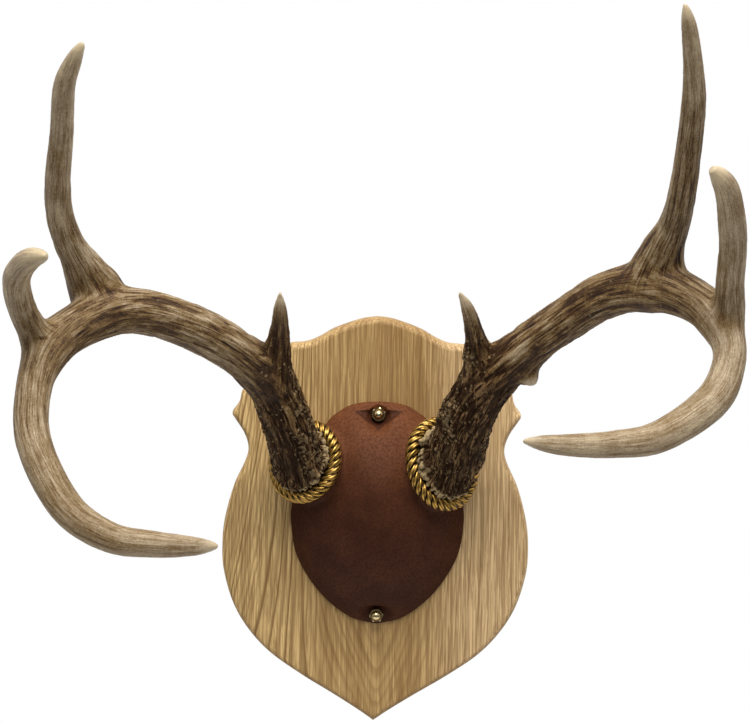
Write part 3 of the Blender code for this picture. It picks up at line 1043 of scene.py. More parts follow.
@dataclass(frozen=True)
class AntlerFinish:
    """Antler from dark stained base to worn ivory tips, with painted shade in the grooves and
    painted highlight on the ridges.
    """

    ladder: tuple[tuple[float, Colour], ...] = (
        (0.00, (0.470, 0.375, 0.225)),
        (0.14, (0.372, 0.284, 0.183)),
        (0.30, (0.272, 0.196, 0.114)),
        (0.50, (0.184, 0.114, 0.043)),
        (0.72, (0.080, 0.039, 0.0130)),
        (1.00, (0.0190, 0.0072, 0.0024)),
    )
    pearl: Colour = (0.450, 0.330, 0.170)
    # Colour of the painted highlight on the raised ridges of the base.
    crest: Colour = (0.300, 0.178, 0.080)
    roughness: float = 0.48
    bead_scale: float = 280.0

    def beads(self, s: Shading, place: object) -> bpy.types.NodeSocket:
        """Return small pale beads where the antler's base is rough.

        Args:
            s: helper of the material's tree.
            place: place on the antler, in metres.

        Returns:
            The beads' cover, 0 to 1.
        """
        cells = s.node("ShaderNodeTexVoronoi")
        s.feed(cells.inputs["Vector"], place)
        cells.inputs["Scale"].default_value = self.bead_scale
        cells.inputs["Randomness"].default_value = 0.85
        parts = s.node("ShaderNodeSeparateColor")
        s.feed(parts.inputs["Color"], cells.outputs["Color"])
        size = s.added(parts.outputs["Green"], 0.16, 0.34)
        bead = s.remap(cells.outputs["Distance"], size, 0.14)
        strewn = s.attribute("strewn")
        there = s.remap(s.minus(strewn, parts.outputs["Red"]), -0.15, 0.10)
        return s.times(s.times(bead, there), 0.50)

    def material(self, effects: Effects) -> bpy.types.Material:
        """Return the antler's material.

        Args:
            effects: the shared shader groups.

        Returns:
            The material.
        """
        material, s, shader = new_material("grown_antler")
        beam = s.attribute("beam_flow", "Vector")
        tine = s.attribute("tine_flow", "Vector")
        names = ("tine_share", "tone", "relief", "pearl", "tip")
        share, tone, relief, pearl, tip = (s.attribute(name) for name in names)
        place = s.place()

        def along(length: float, width: float, wander: float, low: float,
                  high: float) -> bpy.types.NodeSocket:
            """Return fibres that follow the beam and pass over into each point.

            Args:
                length: how often they change along a branch.
                width: how often they change round it.
                wander: how far they stray.
                low: noise at which a fibre starts.
                high: noise at which it is full.

            Returns:
                The fibres' cover, 0 to 1.
            """
            sides = [s.group(effects.grain, Place=flow, Stretch=(length, width, width),
                             Wander=wander, Low=low, High=high) for flow in (beam, tine)]
            return s.blend(share, *sides)

        wide = along(0.016, 0.22, 1.4, 0.36, 0.64)
        streak = along(0.032, 0.80, 1.1, 0.53, 0.59)
        fine = along(0.13, 1.7, 0.6, 0.41, 0.59)
        line = along(0.022, 1.1, 1.3, 0.58, 0.63)
        thread = along(0.050, 0.40, 0.8, 0.44, 0.56)
        patch = s.group(effects.mottle, Place=place, Scale=55.0, Low=0.32, High=0.68)
        worn = s.group(effects.mottle, Place=place, Scale=620.0, Low=0.36, High=0.66)
        # Shade is the antler's own tone, stain and grain, plus painted light and shade from the
        # relief: grooves darker, swells paler.
        swing = s.remap(tone, 0.10, 0.48)
        shade = tone
        for part, weight in ((s.minus(wide, 0.5), 0.24),
                             (s.minus(patch, 0.5), 0.18),
                             (s.times(streak, swing), 0.30),
                             (s.times(line, swing), 0.34),
                             (s.minus(fine, 0.5), 0.18),
                             (relief, s.remap(tone, 0.40, 0.90, -0.26, -0.42)),
                             (s.minus(worn, 0.5), 0.13)):
            shade = s.added(part, weight, shade)
        shade = s.times(shade, s.minus(1.0, s.times(tip, 0.7)),
                       clamp=True)
        tint = s.ramp(shade, self.ladder)
        # Painted highlight: pale colour laid along the raised ridges of the dark base.
        ridge_highlight = s.times(thread, s.minus(1.0, thread))
        ridge_highlight = s.times(ridge_highlight, s.remap(relief, -0.60, 0.50, 0.8, 4.0))
        ridge_highlight = s.times(ridge_highlight, s.remap(tone, 0.50, 0.90))
        ridge_highlight = s.times(ridge_highlight, s.remap(wide, 0.10, 0.60, 0.25, 1.0), clamp=True)
        tint = s.mix(s.times(ridge_highlight, 0.80), tint, self.crest)
        dot = self.beads(s, place)
        tint = s.mix(s.math("MAXIMUM", s.times(pearl, 0.75), dot), tint, self.pearl)
        s.feed(shader.inputs["Base Color"], tint)
        rough = s.added(tone, 0.14, self.roughness)
        s.feed(shader.inputs["Roughness"], s.added(tip, -0.16, rough))
        s.feed(shader.inputs["Specular IOR Level"], s.remap(tone, 0.40, 0.95, 0.20, 0.05))
        shader.inputs["Coat Roughness"].default_value = 0.22
        s.feed(shader.inputs["Coat Weight"], s.times(tip, 0.45))
        keep = s.minus(1.0, s.times(tip, 0.85))
        dents = s.math("ADD", s.times(streak, -1.0), s.times(fine, 0.45))
        grooves = s.bump(s.times(dents, keep), 0.55, 0.00045)
        raised = s.math("ADD", dot, s.times(ridge_highlight, 0.6))
        s.feed(shader.inputs["Normal"], s.bump(raised, 0.85, 0.00080, grooves))
        return material


@dataclass(frozen=True)
class RopeFinish:
    """Gold metallic thread laid in strands, with painted shade in the gaps between strands and
    painted light along the yarns.
    """

    gold: Colour = (0.620, 0.380, 0.085)
    bronze: Colour = (0.170, 0.080, 0.016)
    # Colour of the painted shade between the strands.
    gap: Colour = (0.020, 0.009, 0.003)
    roughness: float = 0.34

    def material(self, effects: Effects) -> bpy.types.Material:
        """Return the gold thread's material.

        Args:
            effects: the shared shader groups.

        Returns:
            The material.
        """
        material, s, shader = new_material("gold_thread")
        depth = s.attribute("depth")
        speck = s.group(effects.mottle, Place=s.place(), Scale=900.0, Low=0.3, High=0.7)
        # Painted light: the yarns' crests are painted brighter gold and their troughs bronze, with
        # random specks.
        lit = s.added(s.attribute("yarn"), 0.40, 0.42)
        lit = s.added(s.minus(speck, 0.5), 0.35, lit, clamp=True)
        tint = s.mix(lit, self.bronze, self.gold)
        # Painted shade: the gaps between strands, deep towards the rope's middle, are painted near
        # black.
        tint = s.mix(s.remap(depth, 0.87, 0.995), self.gap, tint)
        s.feed(shader.inputs["Base Color"], tint)
        shader.inputs["Roughness"].default_value = self.roughness
        s.feed(shader.inputs["Metallic"], s.remap(depth, 0.40, 0.80, 0.1, 0.85))
        return material


@dataclass(frozen=True)
class BrassFinish:
    """Bright brass gone a little brown in its corners."""

    bright: Colour = (0.620, 0.500, 0.270)
    brown: Colour = (0.160, 0.100, 0.040)
    roughness: float = 0.17

    def material(self, effects: Effects) -> bpy.types.Material:
        """Return the brass's material.

        Args:
            effects: the shared shader groups.

        Returns:
            The material.
        """
        material, s, shader = new_material("aged_brass")
        patch = s.group(effects.mottle, Place=s.place(), Scale=420.0, Low=0.40, High=0.75)
        share = s.added(patch, 0.25, s.attribute("tarnish"), clamp=True)
        s.feed(shader.inputs["Base Color"], s.mix(share, self.bright, self.brown))
        s.feed(shader.inputs["Roughness"], s.added(share, 0.25, self.roughness))
        shader.inputs["Metallic"].default_value = 1.0
        return material


@dataclass(frozen=True)
class FloorFinish:
    """Plain pale studio floor."""

    colour: Colour = (0.80, 0.80, 0.79)

    def material(self) -> bpy.types.Material:
        """Return the floor's material.

        Returns:
            The material.
        """
        material, _, shader = new_material("pale_floor")
        shader.inputs["Base Color"].default_value = rgba(self.colour)
        shader.inputs["Roughness"].default_value = 0.9
        return material


# Antlers


@dataclass
class Line:
    """A branch's centre line sampled every millimetre, with a frame that doesn't twist."""

    spots: np.ndarray
    radii: np.ndarray
    run: np.ndarray
    ahead: np.ndarray
    across: np.ndarray
    over: np.ndarray
    depth_limit: float = 1.0

    def locate(self, points: np.ndarray) -> tuple[np.ndarray, ...]:
        """Find where points lie along the line and round it.

        Args:
            points: places in metres.

        Returns:
            Run along the line, gap to the branch's skin, outward direction, cosine and sine
            of the turn round the line.
        """
        spots = self.spots.astype(np.float32)
        squares = np.sum(spots * spots, axis=1)
        nearest = np.empty(len(points), dtype=np.int64)
        for start in range(0, len(points), 20000):
            part = points[start:start + 20000].astype(np.float32)
            nearest[start:start + 20000] = np.argmin(squares - 2.0 * part @ spots.T, axis=1)
        step = self.run[1] - self.run[0]
        slide = np.sum((points - self.spots[nearest]) * self.ahead[nearest], axis=1)
        slide = np.clip(slide, -step, step)
        run = np.clip(self.run[nearest] + slide, 0.0, self.run[-1])
        slide = run - self.run[nearest]
        away = points - self.spots[nearest] - self.ahead[nearest] * slide[:, None]
        far = np.maximum(1e-9, np.linalg.norm(away, axis=1))
        outward = away / far[:, None]
        radius = np.interp(run, self.run, self.radii)
        deep = np.minimum(radius, self.depth_limit)
        radius = radius - (radius - deep) * outward[:, 1] ** 2
        behind = np.where(nearest == 0, -np.sum(away * self.ahead[0], axis=1), 0.0)
        gap = far - radius + 1.5 * np.maximum(0.0, behind)
        flat_x = np.sum(outward * self.across[nearest], axis=1)
        flat_y = np.sum(outward * self.over[nearest], axis=1)
        return run, gap, outward, flat_x, flat_y


@dataclass(frozen=True)
class Branch:
    """One branch of an antler from its root to its point.

    Stations give x, the distance off the wall, z and the diameter in millimetres. Tones give
    a distance along the branch in millimetres and how dark it is there. Grooves give a
    distance and the grooves' depth in millimetres.
    """

    stations: tuple[Station, ...]
    tones: tuple[Pair, ...]
    grooves: tuple[Pair, ...]
    depth_limit: float = 1.0

    def line(self) -> Line:
        """Return the branch's centre line.

        Returns:
            The line, sampled every millimetre.
        """
        keys = np.array([(x, -off, z, dia / 2) for x, off, z, dia in self.stations]) * MM
        length = np.sum(np.linalg.norm(np.diff(keys[:, :3], axis=0), axis=1))
        rows = curve_points(keys, int(length / MM))
        spots = rows[:, :3]
        ahead = np.gradient(spots, axis=0)
        ahead /= np.linalg.norm(ahead, axis=1)[:, None]
        across = np.empty_like(spots)
        first = Vector(ahead[0]).orthogonal().normalized()
        across[0] = first
        for j in range(1, len(spots)):
            turn = Vector(ahead[j - 1]).rotation_difference(Vector(ahead[j]))
            first = (turn @ first).normalized()
            across[j] = first
        over = np.cross(ahead, across)
        steps = np.linalg.norm(np.diff(spots, axis=0), axis=1)
        run = np.concatenate([[0.0], np.cumsum(steps)])
        return Line(spots, rows[:, 3], run, ahead, across, over, self.depth_limit)

    def tube(self, name: str, sides: int = 28, spacing: float = 0.004) -> bpy.types.Object:
        """Return the branch as a plain closed tube.

        Args:
            name: the object's name.
            sides: vertices in each ring.
            spacing: gap between rings, in metres.

        Returns:
            The new object.
        """
        line = self.line()
        stride = max(1, int(spacing / MM))
        picks = list(range(0, len(line.spots), stride))
        if picks[-1] != len(line.spots) - 1:
            picks.append(len(line.spots) - 1)
        verts = []
        for j in picks:
            for i in range(sides):
                angle = 2 * math.pi * i / sides
                spoke = line.across[j] * math.cos(angle) + line.over[j] * math.sin(angle)
                verts.append(line.spots[j] + spoke * line.radii[j])
        return new_object(name, verts, ring_faces(sides, len(picks)))


@dataclass(frozen=True)
class Base:
    """Where an antler stands: its rope's centre, its axis and its oval."""

    seat: tuple[float, float, float]
    axis: tuple[float, float, float]
    stretch: float

    def frame(self) -> tuple[Vector, Vector, Vector, Vector]:
        """Return the rope's centre, the axis and two spokes, the last longer than one.

        Returns:
            The centre, the axis, the level spoke and the steep spoke.
        """
        centre = Vector((self.seat[0] * MM, -self.seat[1] * MM, self.seat[2] * MM))
        along = Vector(self.axis).normalized()
        side = along.cross(Vector((0, 0, 1))).normalized()
        up = side.cross(along).normalized() * self.stretch
        return centre, along, side, up

    def column(self, name: str, profile: tuple[Pair, ...], sides: int,
               foot_off: float) -> bpy.types.Object:
        """Return an oval column on the axis with its foot cut parallel to the wall.

        Args:
            name: the object's name.
            profile: distance along the axis and radius, in metres.
            sides: vertices in each ring.
            foot_off: the foot's distance off the wall.

        Returns:
            The column as a closed mesh object.
        """
        centre, along, side, up = self.frame()
        verts = []
        spokes = []
        for i in range(sides):
            turn = 2 * math.pi * i / sides
            spokes.append(side * math.cos(turn) + up * math.sin(turn))
        for spoke in spokes:
            point = centre + spoke * profile[0][1]
            verts.append(point + along * ((-foot_off - point.y) / along.y))
        for offset, radius in profile:
            verts.extend(centre + along * offset + spoke * radius for spoke in spokes)
        return new_object(name, verts, ring_faces(sides, len(profile) + 1))

    def local(self, points: np.ndarray) -> tuple[np.ndarray, np.ndarray, np.ndarray]:
        """Return each point's distance along the axis, oval radius and turn round it.

        Args:
            points: places in metres.

        Returns:
            Distance, oval radius and turn, one each per point.
        """
        centre, along, side, up = self.frame()
        away = points - np.array(centre)
        offset = away @ np.array(along)
        flat_x = away @ np.array(side)
        flat_y = away @ np.array(up) / self.stretch ** 2
        return offset, np.hypot(flat_x, flat_y), np.arctan2(flat_y, flat_x)


BURR_PROFILE: tuple[Pair, ...] = (
    (0.0000, 0.0225), (0.0040, 0.0236), (0.0056, 0.0262), (0.0072, 0.0274),
    (0.0104, 0.0270), (0.0140, 0.0250), (0.0195, 0.0218), (0.0245, 0.0180),
)


@dataclass(frozen=True)
class Marks:
    """Marks on an antler's skin.

    Pairs give a mark's length and width. What follows a branch is in millimetres, what fills
    space is in metres, and heights are in millimetres.
    """

    beam_girth: float = 17.0
    point_girth: float = 11.0
    branch_step: Pair = (331.0, 41.0)
    fork_blend: float = 0.0042
    bend: Pair = (60.0, 10.0)
    groove: Pair = (44.0, 5.6)
    lesser: Pair = (22.0, 3.0)
    thread: Pair = (34.0, 3.2)
    thread_patch: Pair = (20.0, 9.0)
    bead_rows: Pair = (3.0, 3.4)
    row_wander: float = 21.0
    bead_share: float = 0.62
    speck_size: float = 0.0026
    speck_share: float = 0.16
    patch_size: float = 0.013
    rough_beam: Pair = (112.0, 70.0)
    rough_brow: Pair = (62.0, 34.0)
    rim_place: float = 0.0092
    rim_width: float = 0.0042
    tooth: Pair = (3.1, 4.4)
    tooth_place: float = 5.4
    tooth_share: float = 0.90
    groove_height: float = 1.55
    bead_height: float = 1.90
    speck_height: float = 0.6
    tooth_height: float = 1.9
    rim_depth: float = 0.9
    crest_height: float = 0.45
    scar_depth: float = 0.9
    worn_length: float = 16.0
    worn_share: float = 0.22


@dataclass
class Antler:
    """One antler: burr with its beaded coronet, grooved beam and points."""

    side: Side
    base: Base
    beam: Branch
    points: tuple[Branch, ...]
    scars: tuple[tuple[float, float, float, float], ...] = ()
    seed: int = 1
    marks: Marks = Marks()
    voxel: float = 0.00150
    web: float = 0.0046
    foot_off: float = SEAT

    def build(self, finish: bpy.types.Material) -> bpy.types.Object:
        """Build and dress the antler.

        Args:
            finish: the antler's material.

        Returns:
            The finished piece.
        """
        name = f"antler_{self.side.value}_grown"
        parts = [self.base.column("burr", BURR_PROFILE, 72, self.foot_off)]
        parts += [branch.tube("branch") for branch in (self.beam, *self.points)]
        obj = joined(name, parts)
        remeshed(obj, self.voxel)
        lines = [branch.line() for branch in (self.beam, *self.points)]
        mesh = obj.data
        places = self.swept(read_points(mesh), lines)
        edges = read_edges(mesh)
        offset = self.base.local(places)[0]
        weight = np.where(offset > 0.020, 0.5, 0.25)
        places = relaxed(places, edges, weight * smooth_step(0.0210, 0.0240, -places[:, 1]), 5)
        write_points(mesh, places)
        self.refine(mesh)
        self.carve(mesh, lines)
        mesh.shade_smooth()
        settle(obj, f"antler_{self.side.value}", finish)
        return obj

    def swept(self, places: np.ndarray, lines: list[Line]) -> np.ndarray:
        """Return the skin drawn onto the softly blended branches, so that forks have webs.

        Args:
            places: vertex places.
            lines: centre lines of the beam and the points.

        Returns:
            The new places.
        """
        free = smooth_step(0.026, 0.040, self.base.local(places)[0])
        for _ in range(4):
            gaps = []
            outs = []
            for line in lines:
                _, gap, outward, _, _ = line.locate(places)
                gaps.append(gap)
                outs.append(outward)
            gaps = np.array(gaps)
            low = gaps.min(axis=0)
            shares = np.exp(-(gaps - low) / self.web)
            total = shares.sum(axis=0)
            field = low - self.web * np.log(total)
            slope = np.einsum("bn,bnk->nk", shares / total, np.array(outs))
            size = np.sum(slope * slope, axis=1) + 0.05
            move = np.clip(-field / size, -0.0015, 0.0015) * free
            places = places + slope * move[:, None]
        return places

    def refine(self, mesh: bpy.types.Mesh) -> None:
        """Split the faces of the base, where beads and deep grooves lie.

        Args:
            mesh: the antler's mesh.
        """
        centre, along, _, _ = self.base.frame()
        with edited(mesh) as bm:
            near = set()
            for vert in bm.verts:
                away = vert.co - centre
                offset = away.dot(along)
                if 0.004 < offset < 0.100 and away.length < 0.115:
                    near.add(vert)
            picked = [edge for edge in bm.edges if edge.verts[0] in near and edge.verts[1] in near]
            bmesh.ops.subdivide_edges(bm, edges=picked, cuts=1, use_grid_fill=True)
            bmesh.ops.triangulate(bm, faces=[f for f in bm.faces if len(f.verts) > 4])

    def carve(self, mesh: bpy.types.Mesh, lines: list[Line]) -> None:
        """Raise the antler's grooves, beads and coronet and store what its finish reads.

        Args:
            mesh: the antler's mesh.
            lines: centre lines of the beam and the points.
        """
        places = read_points(mesh)
        normals = read_normals(mesh)
        found = [line.locate(places) for line in lines]
        branches = (self.beam, *self.points)
        marks = self.marks
        flows = []
        tones = []
        depths = []
        ends = []
        for number, (branch, line, spot) in enumerate(zip(branches, lines, found)):
            run = spot[0] / MM
            girth = marks.beam_girth if number == 0 else marks.point_girth
            ahead, aside = marks.branch_step
            flows.append(np.stack([run + ahead * number, spot[3] * girth + aside * number,
                                   spot[4] * girth], axis=1))
            tones.append(np.interp(run, *zip(*branch.tones)))
            depths.append(np.interp(run, *zip(*branch.grooves)))
            worn = min(marks.worn_length, marks.worn_share * line.run[-1] / MM)
            ends.append(smooth_step(worn, 0.25 * worn, line.run[-1] / MM - run))
        gaps = np.array([spot[1] for spot in found])
        best = 1 + np.argmin(gaps[1:], axis=0)
        row = np.arange(len(places))
        lead = gaps[0] - gaps[best, row]
        share = 1.0 / (1.0 + np.exp(np.clip(-lead / marks.fork_blend, -40, 40)))
        pick = np.array(flows)[best, row]
        tone, depth, tip = (rows[0] * (1 - share) + np.array(rows)[best, row] * share
                            for rows in (tones, depths, ends))

        def follow(size: tuple[float, float], octaves: int, seed: int) -> np.ndarray:
            """Return noise drawn out along the beam and along each point.

            Args:
                size: length and width of the noise.
                octaves: number of sizes.
                seed: number that picks the pattern.

            Returns:
                One number per vertex.
            """
            stretch = np.array([1 / size[0], 1 / size[1], 1 / size[1]])
            on_beam = fractal_noise(flows[0] * stretch, octaves, seed)
            on_tine = fractal_noise(pick * stretch, octaves, seed)
            return on_beam * (1 - share) + on_tine * share

        seed = self.seed * 100
        bend = follow(marks.bend, 2, seed)
        groove = follow(marks.groove, 2, seed + 10)
        lesser = follow(marks.lesser, 2, seed + 20)
        valley = np.exp(-(groove / 0.22) ** 2)
        crease = np.exp(-(lesser / 0.24) ** 2)
        relief = 0.75 * bend - 1.10 * valley - 0.50 * crease + 0.55

        offset, oval, turn = self.base.local(places)
        beam_run = found[0][0] / MM
        across = normals[:, 0] * self.side.inward
        flank = np.maximum(smooth_step(-0.15, 0.55, across), 0.75 * smooth_step(0.35, 0.85, -across))
        patchy = smooth_step(-0.35, 0.25, gradient_noise(places / marks.patch_size, seed + 30))
        low_beam = smooth_step(*marks.rough_beam, beam_run) * (1 - share)
        on_brow = smooth_step(*marks.rough_brow, found[1][0] / MM) * np.where(best == 1, share, 0.0)
        rough = np.clip(low_beam + on_brow, 0, 1)
        strewn = rough * flank * patchy

        def rows(flow: np.ndarray, number: int) -> np.ndarray:
            """Return beads that stand in wavering rows along one branch.

            Args:
                flow: places unrolled along the branch.
                number: number that picks the pattern.

            Returns:
                One height per vertex, 0 to 1.
            """
            wander = gradient_noise(flow / marks.row_wander, seed + number)
            gap, row_gap = marks.bead_rows
            turned = np.arctan2(flow[:, 2], flow[:, 1]) * marks.beam_girth / row_gap + 1.1 * wander
            spots = np.stack([flow[:, 0] / gap, turned, np.full(len(flow), 0.5)], axis=1)
            return cell_beads(spots, marks.bead_share, seed + number, (0.7, 0.3, 0.0))

        beads = (rows(flows[0], 40) * (1 - share) + rows(pick, 45) * share) * strewn
        small = cell_beads(places / marks.speck_size, marks.speck_share, seed + 50) * rough
        thread = follow(marks.thread, 2, seed + 70)
        gathered = smooth_step(-0.1, 0.5, follow(marks.thread_patch, 1, seed + 80))
        crest = np.exp(-(thread / 0.11) ** 2) * gathered * rough * (1 - 0.6 * strewn)
        rim = np.exp(-((offset - marks.rim_place) / marks.rim_width) ** 2)
        rim = rim * smooth_step(0.0220, 0.0245, oval)
        ring = np.stack([turn * 26.0 / marks.tooth[0],
                         (offset / MM - marks.tooth_place) / marks.tooth[1],
                         np.full(len(places), 0.5)], axis=1)
        teeth = cell_beads(ring, marks.tooth_share, seed + 60, (0.5, 0.5, 0.0)) * rim

        rise = marks.groove_height * depth * relief + marks.bead_height * beads
        rise = rise + marks.speck_height * small + marks.tooth_height * teeth
        rise = rise - marks.rim_depth * rim + marks.crest_height * crest
        front = smooth_step(0.0042, 0.0062, offset)
        rise = rise * front * (1 - 0.9 * tip)
        dark = np.zeros(len(places))
        for x, off, z, reach in self.scars:
            away = (places - np.array([x, -off, z]) * MM) / (np.array([1.0, 2.0, 0.35]) * reach * MM)
            mark = np.exp(-np.sum(away * away, axis=1))
            rise = rise - marks.scar_depth * mark
            dark = dark + mark
        write_points(mesh, places + normals * rise[:, None] * MM)
        bright = smooth_step(0.30, 0.62, teeth)
        pearl = np.clip(0.42 * smooth_step(0.35, 0.80, beads) + bright + 0.20 * crest, 0, 1)
        strewn = strewn * front * (1 - tip) * smooth_step(0.016, 0.022, offset)
        for name, values in (("beam_flow", flows[0]), ("tine_flow", pick), ("tine_share", share),
                             ("tone", np.clip(tone + 0.5 * dark + 0.6 * rim, 0, 1.5)),
                             ("strewn", strewn), ("pearl", pearl), ("tip", tip),
                             ("relief", np.clip(relief * smooth_step(0.0, 0.5, depth), -1, 1))):
            store(mesh, name, values)


LEFT_BASE = Base((-60.8, 48.0, 58.0), (-0.50, -0.80, 0.33), 1.03)
RIGHT_BASE = Base((56.2, 48.0, 57.0), (0.48, -0.81, 0.34), 1.18)


def left_antler() -> Antler:
    """Return the left antler: brow point, long second point and a hooked third.

    Returns:
        The antler's sizes, ready to build.
    """
    beam = Branch(
        ((-67.0, 62, 65, 43.0), (-70.5, 78, 81, 41.5), (-76.5, 98, 105, 40.0),
         (-89.0, 122, 137, 38.0), (-113.0, 148, 163.5, 36.0), (-150.0, 175, 188, 36.0),
         (-193.0, 202, 202, 35.5), (-229.0, 228, 193, 35.0), (-250.0, 252, 175, 31.5),
         (-257.5, 278, 148, 27.0), (-252.5, 306, 113, 26.5), (-226.0, 332, 72, 25.5),
         (-193.0, 342, 52, 22.5), (-160.0, 346, 48, 19.5), (-134.5, 346, 47, 15.0),
         (-121.0, 345.5, 47, 9.5), (-114.0, 345, 47, 3.5)),
        ((0, 1.05), (60, 0.95), (85, 0.80), (112, 0.62), (140, 0.38), (210, 0.40), (280, 0.56),
         (340, 0.38), (400, 0.32), (520, 0.28), (600, 0.24), (640, 0.14)),
        ((0, 1.0), (100, 0.95), (150, 0.60), (230, 0.45), (300, 0.28), (400, 0.14), (560, 0.10)))
    brow = Branch(
        ((-84, 126, 138, 28.0), (-80.5, 141, 158, 22.5), (-79.0, 152, 173, 17.5),
         (-78.0, 164, 190, 13.8), (-77.5, 174, 204, 9.8), (-77.2, 181, 215.5, 3.0)),
        ((0, 1.02), (40, 0.88), (70, 0.52), (88, 0.25)),
        ((0, 0.95), (45, 0.70), (80, 0.20)))
    second = Branch(
        ((-208, 205, 200, 22.0), (-218, 206, 217, 40.0), (-225.5, 216, 233, 34.0),
         (-231, 228, 246.5, 26.0), (-236, 240, 259.5, 22.5), (-240, 258, 283, 20.8),
         (-238, 277, 309, 19.2), (-232, 300, 344, 17.5), (-227, 323, 376, 16.2),
         (-219, 335, 394, 12.6), (-213, 341, 404.5, 7.2), (-211, 343, 408, 2.8)),
        ((0, 0.44), (60, 0.36), (120, 0.29), (190, 0.25), (240, 0.15)),
        ((0, 0.40), (80, 0.26), (180, 0.16), (240, 0.05)), depth_limit=0.0150)
    third = Branch(
        ((-251, 240, 172, 28.0), (-259, 255, 189, 23.5), (-265.5, 280, 213, 21.5),
         (-265.0, 306, 234, 21.0), (-258.5, 323, 246, 19.3), (-249, 340, 254, 16.3),
         (-240, 351, 256.5, 10.5), (-235.5, 356, 257, 4.5)),
        ((0, 0.38), (60, 0.32), (110, 0.22), (150, 0.12)),
        ((0, 0.25), (60, 0.20), (130, 0.06)))
    return Antler(Side.LEFT, LEFT_BASE, beam, (brow, second, third),
                  scars=((-252.0, 268.0, 187.5, 3.0),), seed=1)


def right_antler() -> Antler:
    """Return the right antler: brow point, kicker, long second point and a blunt third.

    Returns:
        The antler's sizes, ready to build.
    """
    beam = Branch(
        ((66.5, 62, 63, 45.0), (69.0, 78, 79, 45.5), (74.5, 98, 104, 45.0),
         (88.0, 122, 135, 42.5), (109.0, 147, 161, 37.0), (141.0, 168, 190, 34.5),
         (180.0, 194, 219, 36.5), (216.0, 220, 226, 36.0), (244.0, 246, 217, 32.5),
         (260.0, 266, 197, 26.5), (261.5, 281, 177, 25.0), (247.0, 299, 151, 27.0),
         (207.0, 322, 128, 24.0), (172.5, 334, 123.5, 20.3), (139.5, 340, 123.5, 16.6),
         (119.0, 342, 125, 11.8), (105.0, 342, 126.5, 3.6)),
        ((0, 1.50), (95, 1.35), (122, 0.95), (155, 0.60), (220, 0.52), (280, 0.54), (330, 0.44),
         (380, 0.24), (500, 0.24), (580, 0.22), (620, 0.13)),
        ((0, 1.0), (110, 0.95), (160, 0.65), (240, 0.45), (310, 0.25), (400, 0.12), (560, 0.10)))
    brow = Branch(
        ((87, 126, 137, 28.0), (81.5, 140, 157, 22.5), (78.5, 152, 174, 17.0),
         (74.5, 164, 192, 13.5), (69.5, 174, 206, 10.0), (63.2, 181, 217.5, 3.0)),
        ((0, 1.05), (45, 0.88), (72, 0.48), (90, 0.22)),
        ((0, 0.95), (45, 0.70), (80, 0.20)))
    kicker = Branch(
        ((113, 145, 161, 18.0), (119.5, 151, 151, 12.5), (123, 156, 144.5, 10.5),
         (123.6, 158, 140.5, 3.4)),
        ((0, 0.95), (10, 0.80), (17, 0.34), (26, 0.10)),
        ((0, 0.30), (12, 0.10), (26, 0.0)))
    second = Branch(
        ((207, 212, 213, 22.0), (210, 214, 230, 39.0), (215, 224, 251, 36.0),
         (218.5, 234, 264.5, 28.5), (222.5, 246, 279, 23.6), (224, 272, 302, 21.2),
         (225, 299, 342, 19.0), (224.5, 319, 372, 17.5), (221, 335, 397, 14.5),
         (216, 349, 421, 12.0), (213, 354, 432.5, 8.4), (210.8, 357, 440, 2.8)),
        ((0, 0.54), (60, 0.42), (120, 0.42), (190, 0.38), (225, 0.25), (270, 0.16)),
        ((0, 0.40), (80, 0.30), (190, 0.22), (250, 0.05)), depth_limit=0.0150)
    third = Branch(
        ((258, 252, 200, 28.0), (262.5, 266, 216, 23.5), (260, 284, 238, 21.5),
         (258.5, 302, 263, 20.9), (254.5, 318, 286, 20.5), (249, 331, 307, 18.8),
         (242, 339, 318, 15.0), (235, 344, 324, 6.5)),
        ((0, 0.36), (60, 0.30), (110, 0.26), (150, 0.19), (180, 0.14)),
        ((0, 0.25), (80, 0.24), (160, 0.08)))
    return Antler(Side.RIGHT, RIGHT_BASE, beam, (brow, kicker, second, third), seed=2)


# Oak plaque


